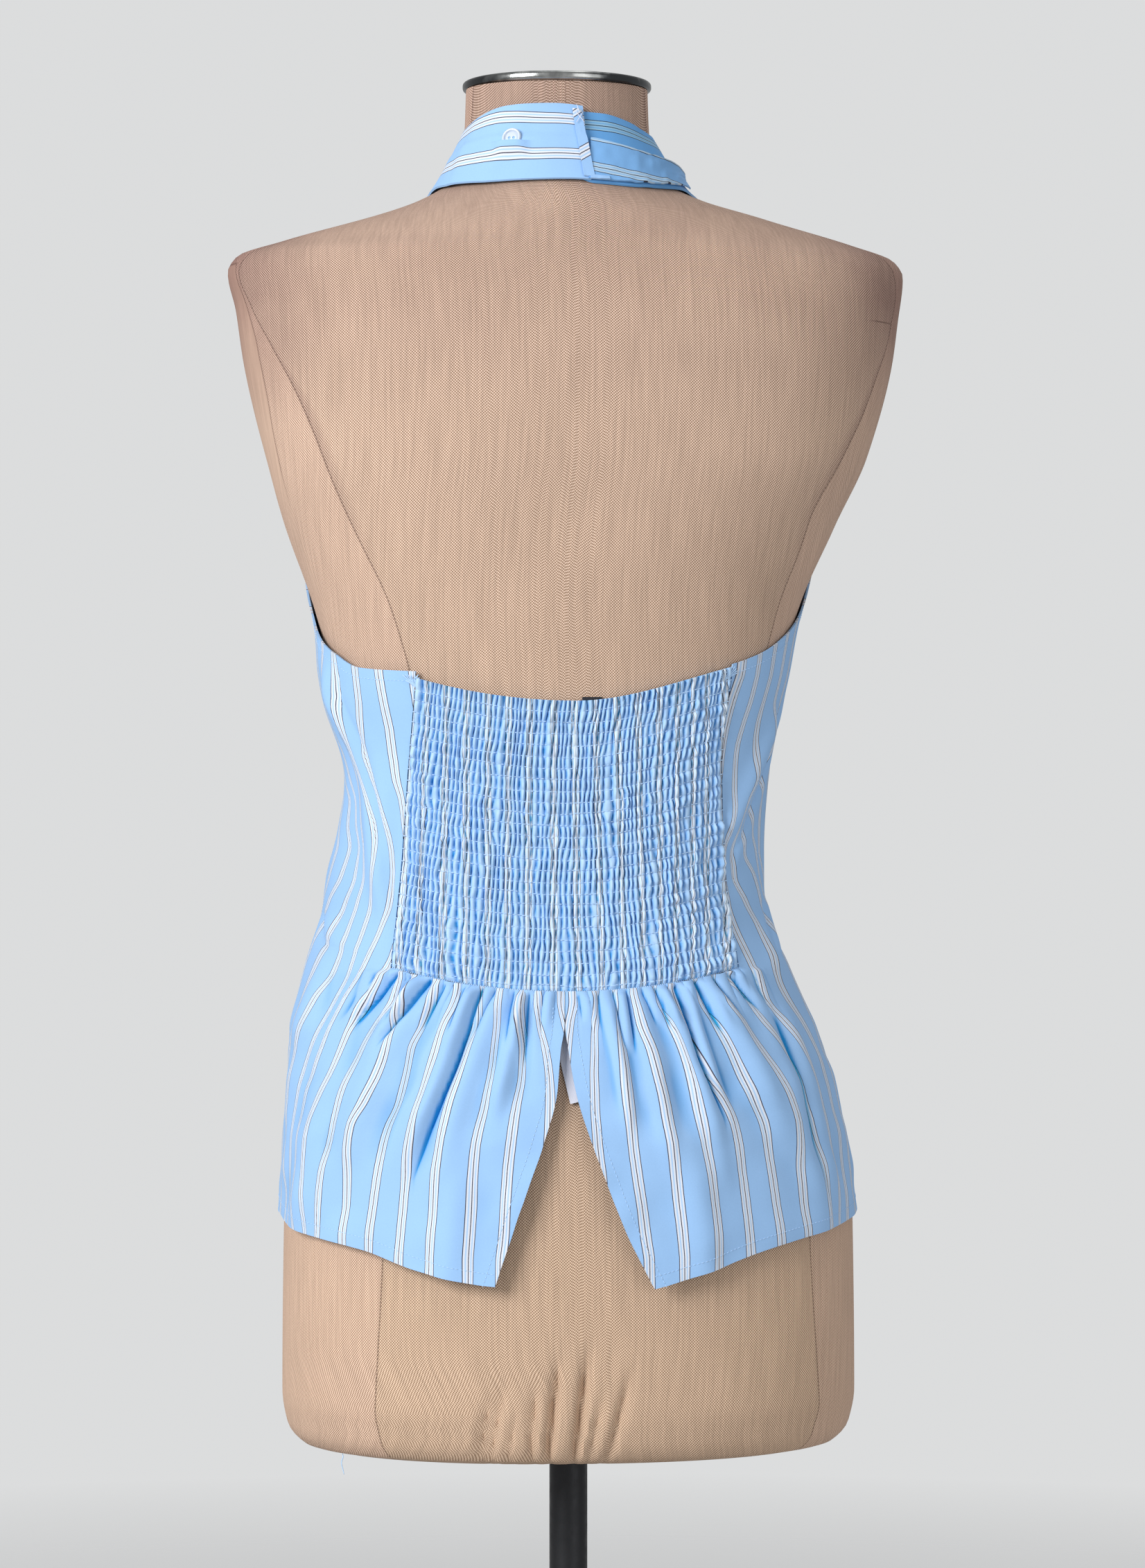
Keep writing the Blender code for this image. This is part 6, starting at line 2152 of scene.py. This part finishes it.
@dataclass
class NeckBand:
    """The two straps where they meet behind the neck, with the button and the turned ends."""

    right: NeckStrap = field(
        default_factory=lambda: NeckStrap(
            Side.RIGHT,
            ends=0.985,
            gap=0.0006,
            cut=FlatCut(0.046, 0.36),
            stripe=along_strap((0, 0.18), (1, 0.19)),
            spread=steady(0.0425),
            fold=steady(0.5),
            fold_height=0.0,
            shade=0.62,
            tuck=0.12,
        )
    )
    left: NeckStrap = field(
        default_factory=lambda: NeckStrap(
            Side.LEFT,
            ends=0.878,
            gap=0.0026,
            cut=FlatCut(0.046, 0.33),
            stripe=along_strap((0, 0.18), (0.5, 0.09), (0.58, 0.10), (0.70, 0.155), (0.80, 0.20), (1, 0.21)),
            spread=along_strap(
                (0, 0.0425), (0.5, 0.036), (0.6, 0.037), (0.72, 0.041), (0.82, 0.0435), (1, 0.0435)
            ),
            fold=along_strap((0, 0.45), (0.55, 0.45), (0.66, 0.42), (0.76, 0.475), (1, 0.49)),
            fold_height=0.0015,
            button=Button(),
        )
    )

    def build(self, wardrobe: Wardrobe, tree: BVHTree) -> None:
        """Makes the straps, the button, the turned layers and the tack."""
        under = self.right.build(wardrobe, tree)
        over = self.left.build(wardrobe, tree)
        if self.left.button is not None:
            self.left.button.build(self.left, wardrobe)
        on_right = [self.loose_fold().build(wardrobe, tree)]
        on_left = [layer.build(wardrobe, tree) for layer in self.left_layers()]
        on_left.append(ThreadEnds("strap_tack", self.tack_paths(tree)).build(wardrobe.white_tape))
        self.right.declare(under, on_right)
        self.left.declare(over, on_left)

    def loose_fold(self) -> StrapLayer:
        """The right strap's loose fold, whose stripes run off its lower edge."""
        return StrapLayer(
            "right_strap_fold",
            self.right,
            start=0.49,
            stop=0.757,
            upper=along_strap(
                (0.49, 0.715), (0.55, 0.64), (0.62, 0.56), (0.7, 0.465), (0.757, 0.39), (0.78, 0.37)
            ),
            lower=steady(0.995),
            stripe=1.127,
            spread=0.0473,
            roll=0.0026,
            slant=math.radians(9),
            lean=0.018,
            shade=0.40,
            clear=0.0015,
        )

    def left_layers(self) -> list[StrapLayer]:
        """The left strap's turned end and the tab below it."""
        turned = StrapLayer(
            "left_strap_turned_end",
            self.left,
            start=0.857,
            stop=0.878,
            upper=steady(0.06),
            lower=steady(0.985),
            stripe=0.70,
            roll=0.0004,
            slant=math.radians(35),
            lean=0.014,
            rows=26,
            columns=40,
        )
        tab = StrapLayer(
            "left_strap_tab",
            self.left,
            start=0.876,
            stop=0.915,
            upper=along_strap((0, 0.955), (1, 0.965)),
            lower=along_strap((0, 1.005), (1, 1.015)),
            stripe=0.70,
            roll=0.0,
            rows=16,
            columns=6,
        )
        return [turned, tab]

    def tack_paths(self, tree: BVHTree) -> list[Grid]:
        """Two crossed rows of thread over the strap's end, and the tack's bar."""
        rows = ((0.856, 0.874, 0.10, 0.24), (0.874, 0.856, 0.10, 0.26), (0.860, 0.866, 0.0, 0.12))
        paths = []
        for start, stop, high, low in rows:
            at = np.linspace(start, stop, 6)
            shares = np.linspace(high, low, 6)[:, None]
            points, ways = self.left.lay(tree, at, shares)
            lift = self.left.relief(at, shares, points) + 2.8 * WALL + 0.0003
            paths.append((points + ways * lift[..., None])[:, 0])
        return paths


# ---------------------------------------------------------------- the form and its stand


@dataclass
class DressForm:
    """The limbless form under its linen cover, with the cover's seams."""

    columns: int = 230
    step: float = 0.0042
    crowding: float = 0.45
    neck_seam: float = math.radians(6.5)
    pucker_size: float = 1.8
    grid: Grid = field(init=False, repr=False)

    def heights(self) -> Grid:
        """Levels spaced evenly along the form's profile."""
        fine = np.linspace(FORM[0].height, FORM[-1].height, 1600)
        measures = (fine, SHAPE.form.column("half_width", fine), SHAPE.form.column("back", fine))
        run = running_length(np.stack(measures, axis=-1), 0)
        return np.interp(np.linspace(0, run[-1], int(run[-1] / self.step)), run, fine)

    def build(self, wardrobe: Wardrobe) -> Object:
        """Makes the form closed at its foot and its neck."""
        heights = self.heights()
        turns = np.linspace(-math.pi, math.pi, self.columns + 1)
        turns = turns - self.crowding * np.sin(turns)
        half = SHAPE.form.column("half_width", heights)[:, None]
        back = SHAPE.form.column("back", heights)[:, None]
        angles = np.arctan2(half * np.sin(turns), back * np.cos(turns))
        angles[:, 0], angles[:, -1] = -math.pi, math.pi
        angles = angles + FORM_TURN
        levels = np.repeat(heights[:, None], self.columns + 1, axis=1)
        pucker = self.pucker_size * fold_rise(angles, levels, FOOT_PUCKERS, 1.0)
        points = SHAPE.form.place(angles, levels, SHAPE.form.radius(angles, levels) + pucker)
        self.grid = points
        rows = len(heights)
        faces: list[Face] = []
        for row in range(rows - 1):
            for column in range(self.columns):
                low = row * self.columns
                high = low + self.columns
                beside = (column + 1) % self.columns
                faces.append((low + column, low + beside, high + beside, high + column))
        last = (rows - 1) * self.columns
        faces.append(tuple(reversed(range(self.columns))))
        faces.append(tuple(range(last, last + self.columns)))
        flat = points[:, :-1].reshape(-1, 3)
        faces = facing_out(faces, flat, flat[faces[0][0]] * (1, 1, 0))
        piece = new_object("form_torso_cover", flat, faces)
        piece.data.set_sharp_from_angle(angle=math.radians(50))
        self.add_maps(piece, points, angles, levels)
        hand_over(piece, wardrobe.linen, Slot.LINEN, "form_torso")
        return piece

    def add_maps(self, piece: Object, points: Grid, angles: Grid, levels: Grid) -> None:
        """Metres round and up the cover, and distances from its seams, at each face corner."""
        around = running_length(points, 1)
        around -= around[:, self.columns // 2][:, None]
        rise = running_length(points, 0)
        radius = np.hypot(points[..., 0], points[..., 1])
        round_to = np.degrees(np.abs((angles + math.pi) % math.tau - math.pi))
        right = points[..., 0] > 0
        away = {}
        for name in SeamLine._fields[1:]:
            lines = [table_value(table, "height", name, levels) for table in (RIGHT_SEAMS, LEFT_SEAMS)]
            away[name] = np.radians(round_to - np.where(right, *lines)) * radius
        edges = (away["plate"], -away["plate_front"], levels - PLATE_FOOT, PLATE_TOP - levels)
        plate = np.minimum.reduce(edges)
        middle = (angles - self.neck_seam) * radius
        maps = {
            CLOTH_MAP: np.stack([around, rise], axis=-1),
            SEAM_MAP: np.stack([away["back"], away["front"]], axis=-1),
            PLATE_MAP: np.stack([plate, middle], axis=-1),
        }
        mesh = piece.data
        corners = np.empty(len(mesh.loops), np.int64)
        mesh.loops.foreach_get("vertex_index", corners)
        rows, columns = corners // self.columns, corners % self.columns
        for polygon in mesh.polygons:
            face = slice(polygon.loop_start, polygon.loop_start + polygon.loop_total)
            ends = (columns[face].min(), columns[face].max())
            if polygon.loop_total == 4 and ends == (0, self.columns - 1):
                columns[face] = np.where(columns[face] == 0, self.columns, columns[face])
        for name, values in maps.items():
            layer = mesh.uv_layers.new(name=name)
            layer.data.foreach_set("uv", values[rows, columns].astype(np.float32).ravel())


@dataclass
class TurnedPiece:
    """A piece turned on a lathe: a profile from the top of its axis down to its foot."""

    node: str
    profile: Outline
    centre: tuple[float, float] = (0.0, 0.0)
    segments: int = 96

    def build(self, material: Material, slot: Slot) -> Object:
        """Makes the piece and hands it over in place of its solid."""
        return hand_over(self.make(), material, slot, self.node)

    def make(self) -> Object:
        """Makes the piece closed at both ends of its axis."""
        turns = np.linspace(0, math.tau, self.segments, endpoint=False)
        x, y = self.centre
        points = [(x, y, self.profile[0][1])]
        for radius, height in self.profile[1:-1]:
            points += [(x + radius * math.cos(turn), y + radius * math.sin(turn), height) for turn in turns]
        points.append((x, y, self.profile[-1][1]))
        count, rings = self.segments, len(self.profile) - 2
        faces: list[Face] = []
        for i in range(count):
            j = (i + 1) % count
            faces.append((0, 1 + i, 1 + j))
            for ring in range(rings - 1):
                high, low = 1 + ring * count, 1 + (ring + 1) * count
                faces.append((high + i, low + i, low + j, high + j))
            foot = 1 + (rings - 1) * count
            faces.append((foot + i, len(points) - 1, foot + j))
        piece = new_object(self.node + "_finish", np.array(points), faces)
        piece.data.set_sharp_from_angle(angle=math.radians(35))
        return piece


def rounded_rim(radius: float, low: float, high: float, edge: float, steps: int = 6) -> Outline:
    """A disc's outline with both rims rounded, from the top of its axis to its foot."""
    turns = [math.radians(90 * i / steps) for i in range(steps + 1)]
    top = [(radius - edge * (1 - math.sin(turn)), high - edge * (1 - math.cos(turn))) for turn in turns]
    foot = [(radius - edge * (1 - math.cos(turn)), low + edge * (1 - math.sin(turn))) for turn in turns]
    return [(0, high)] + top + foot + [(0, low)]


@dataclass
class Stand:
    """Cap, pole and base of the form."""

    base_radius: float = 0.150
    base_thickness: float = 0.010
    base_edge: float = 0.003
    pole_radius: float = 0.0115
    collar_radius: float = 0.024
    collar_height: float = 0.030
    cap_radius: float = 0.0573
    cap_thickness: float = 0.0055
    cap_edge: float = 0.0022
    cap_centre_y: float = 0.0075
    seat_gap: float = 0.0003

    def build(self, wardrobe: Wardrobe) -> None:
        """Makes the three turned pieces."""
        base = rounded_rim(self.base_radius, 0, self.base_thickness, self.base_edge)
        TurnedPiece("stand_base", base).build(wardrobe.black_metal, Slot.BLACK_METAL)
        foot = self.base_thickness + self.seat_gap
        top = FORM[0].height - self.seat_gap
        neck = foot + self.collar_height
        profile = [
            (0, top),
            (self.pole_radius - 0.0006, top),
            (self.pole_radius, top - 0.0006),
            (self.pole_radius, neck + 0.0012),
            (self.pole_radius + 0.0010, neck),
            (self.collar_radius - 0.0022, foot + self.collar_height * 0.68),
            (self.collar_radius, foot + self.collar_height * 0.58),
            (self.collar_radius, foot + 0.0008),
            (self.collar_radius - 0.0008, foot),
            (0, foot),
        ]
        TurnedPiece("stand_pole", profile, segments=64).build(wardrobe.black_metal, Slot.BLACK_METAL)
        low = FORM[-1].height + self.seat_gap
        profile = rounded_rim(self.cap_radius, low, low + self.cap_thickness, self.cap_edge, 8)
        centre = (FORM[-1].shift, self.cap_centre_y)
        TurnedPiece("form_neck_cap", profile, centre, 128).build(wardrobe.chrome, Slot.CHROME)


# ---------------------------------------------------------------- camera, light and floor


class SoftBox(NamedTuple):
    """A square area light that is turned to the middle of the object."""

    name: str
    place: Point
    size: float
    power: float


@dataclass
class Studio:
    """Camera at the photographed angle, soft light from the upper left and a pale floor."""

    distance: float = 3.0
    aim: tuple[float, float] = (0.0025, 0.640)
    pixel: float = 0.00042
    image: tuple[int, int] = (1652, 2263)
    sensor: float = 36.0
    backdrop: float = 0.725
    ambient: float = 0.40
    middle: float = 0.65
    lights: tuple[SoftBox, ...] = (
        SoftBox("key", (-2.4, -2.6, 1.9), 1.7, 139),
        SoftBox("fill", (2.2, -2.6, 0.9), 2.4, 24),
        SoftBox("top", (0.3, 0.4, 3.0), 1.6, 10),
    )
    floor_radius: float = 4.0
    floor_drop: float = 0.0002
    floor_corners: int = 64

    def build(self) -> None:
        """Sets up everything that isn't part of the object."""
        camera = bpy.data.cameras.new("camera")
        camera.sensor_fit = "VERTICAL"
        camera.sensor_height = self.sensor
        camera.lens = self.sensor * self.distance / (self.image[1] * self.pixel)
        view = link_object("camera", camera)
        view.location = (self.aim[0], -self.distance, self.aim[1])
        view.rotation_euler = (math.radians(90), 0, 0)
        bpy.context.scene.camera = view
        for light in self.lights:
            self.add_light(light)
        self.add_world()
        self.add_floor()
        bpy.context.scene.view_settings.view_transform = "Standard"

    def add_light(self, light: SoftBox) -> None:
        """Hangs one of the soft boxes."""
        lamp = bpy.data.lights.new(light.name, "AREA")
        lamp.shape = "SQUARE"
        lamp.size = light.size
        lamp.energy = light.power
        holder = link_object(light.name, lamp)
        holder.location = light.place
        way = Vector((0, 0, self.middle)) - Vector(light.place)
        holder.rotation_euler = way.to_track_quat("-Z", "Y").to_euler()

    def add_world(self) -> None:
        """A pale backdrop that lights the object more softly than it looks."""
        world = bpy.data.worlds.new("studio")
        bpy.context.scene.world = world
        world.use_nodes = True
        sheet = NodeSheet(world.node_tree)
        background = world.node_tree.nodes["Background"]
        seen = sheet.add("ShaderNodeLightPath").outputs["Is Camera Ray"]
        strength = sheet.math("MULTIPLY_ADD", seen, self.backdrop - self.ambient, self.ambient)
        sheet.fill(background, {"Color": (0.985, 0.995, 1.0, 1), "Strength": strength})

    def add_floor(self) -> None:
        """A pale round floor that fades into the backdrop."""
        turns = np.linspace(0, math.tau, self.floor_corners, endpoint=False)
        ring = [self.floor_radius * np.cos(turns), self.floor_radius * np.sin(turns)]
        points = np.stack([*ring, np.full(len(turns), -self.floor_drop)], axis=-1)
        floor = new_object("floor", points, [tuple(range(self.floor_corners))])
        material, sheet, shader = start_material("floor_paint")
        place = sheet.place()
        away = sheet.add("ShaderNodeVectorMath", operation="LENGTH")
        sheet.put(away.inputs[0], place)
        alpha = sheet.span(away.outputs["Value"], 0.45, 1.6, 1, 0)
        tone = sheet.span(sheet.noise(place, 3.0, 2.0), 0.3, 0.7, 0.60, 0.63)
        colour = sheet.tint((1, 1, 1, 1), tone)
        sheet.fill(shader, {"Alpha": alpha, "Base Color": colour, "Roughness": 0.8})
        floor.data.materials.append(material)


def main() -> None:
    """Builds every sub-assembly in order."""
    logging.basicConfig(level=logging.INFO, format="%(message)s")
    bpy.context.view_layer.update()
    Studio().build()
    wardrobe = Wardrobe()
    stitches = stitch_tree()
    torso = DressForm().build(wardrobe)
    Stand().build(wardrobe)
    left = SidePiece(Side.LEFT, LEFT_STRIPES, FlatCut(0.36, 0.38, 0.088))
    right = SidePiece(Side.RIGHT, RIGHT_STRIPES, FlatCut(0.35, 0.38, 0.080))
    back = ShirredBack()
    front = FrontPiece()
    for part in (left, right, back, front):
        part.build(wardrobe)
    faces = [tuple(face.vertices) for face in torso.data.polygons]
    tree = BVHTree.FromPolygons([vertex.co for vertex in torso.data.vertices], faces)
    NeckBand().build(wardrobe, tree)
    care = TapeLabel("care_label", -0.004, 0.5165, 0.020, 0.062, math.radians(14), 0.0012)
    care.build(wardrobe.white_tape, Slot.WHITE_LABEL)
    size = TapeLabel("size_label", 0.0145, 0.6912, 0.012, 0.0122, thickness=0.0005)
    size.build(wardrobe.black_tape, Slot.BLACK_LABEL)
    thread = wardrobe.sewing_thread
    hems = left.stitch_paths() + right.stitch_paths() + front.stitch_paths()
    StitchRun("topstitching", hems).build(stitches, thread)
    ThreadEnds("frayed_ends", back.tuft_paths(), 0.00034).build(thread)
    seam = StitchRun("waist_seam_thread", back.seam_paths(), 0.00135, 0.00135, 0.00062)
    seam.build(stitches, thread)
    elastic = StitchRun("shirring_thread", back.thread_paths(), 0.0027, 0.0022, 0.00055)
    elastic.build(stitches, thread)


if __name__ == "__main__":
    main()
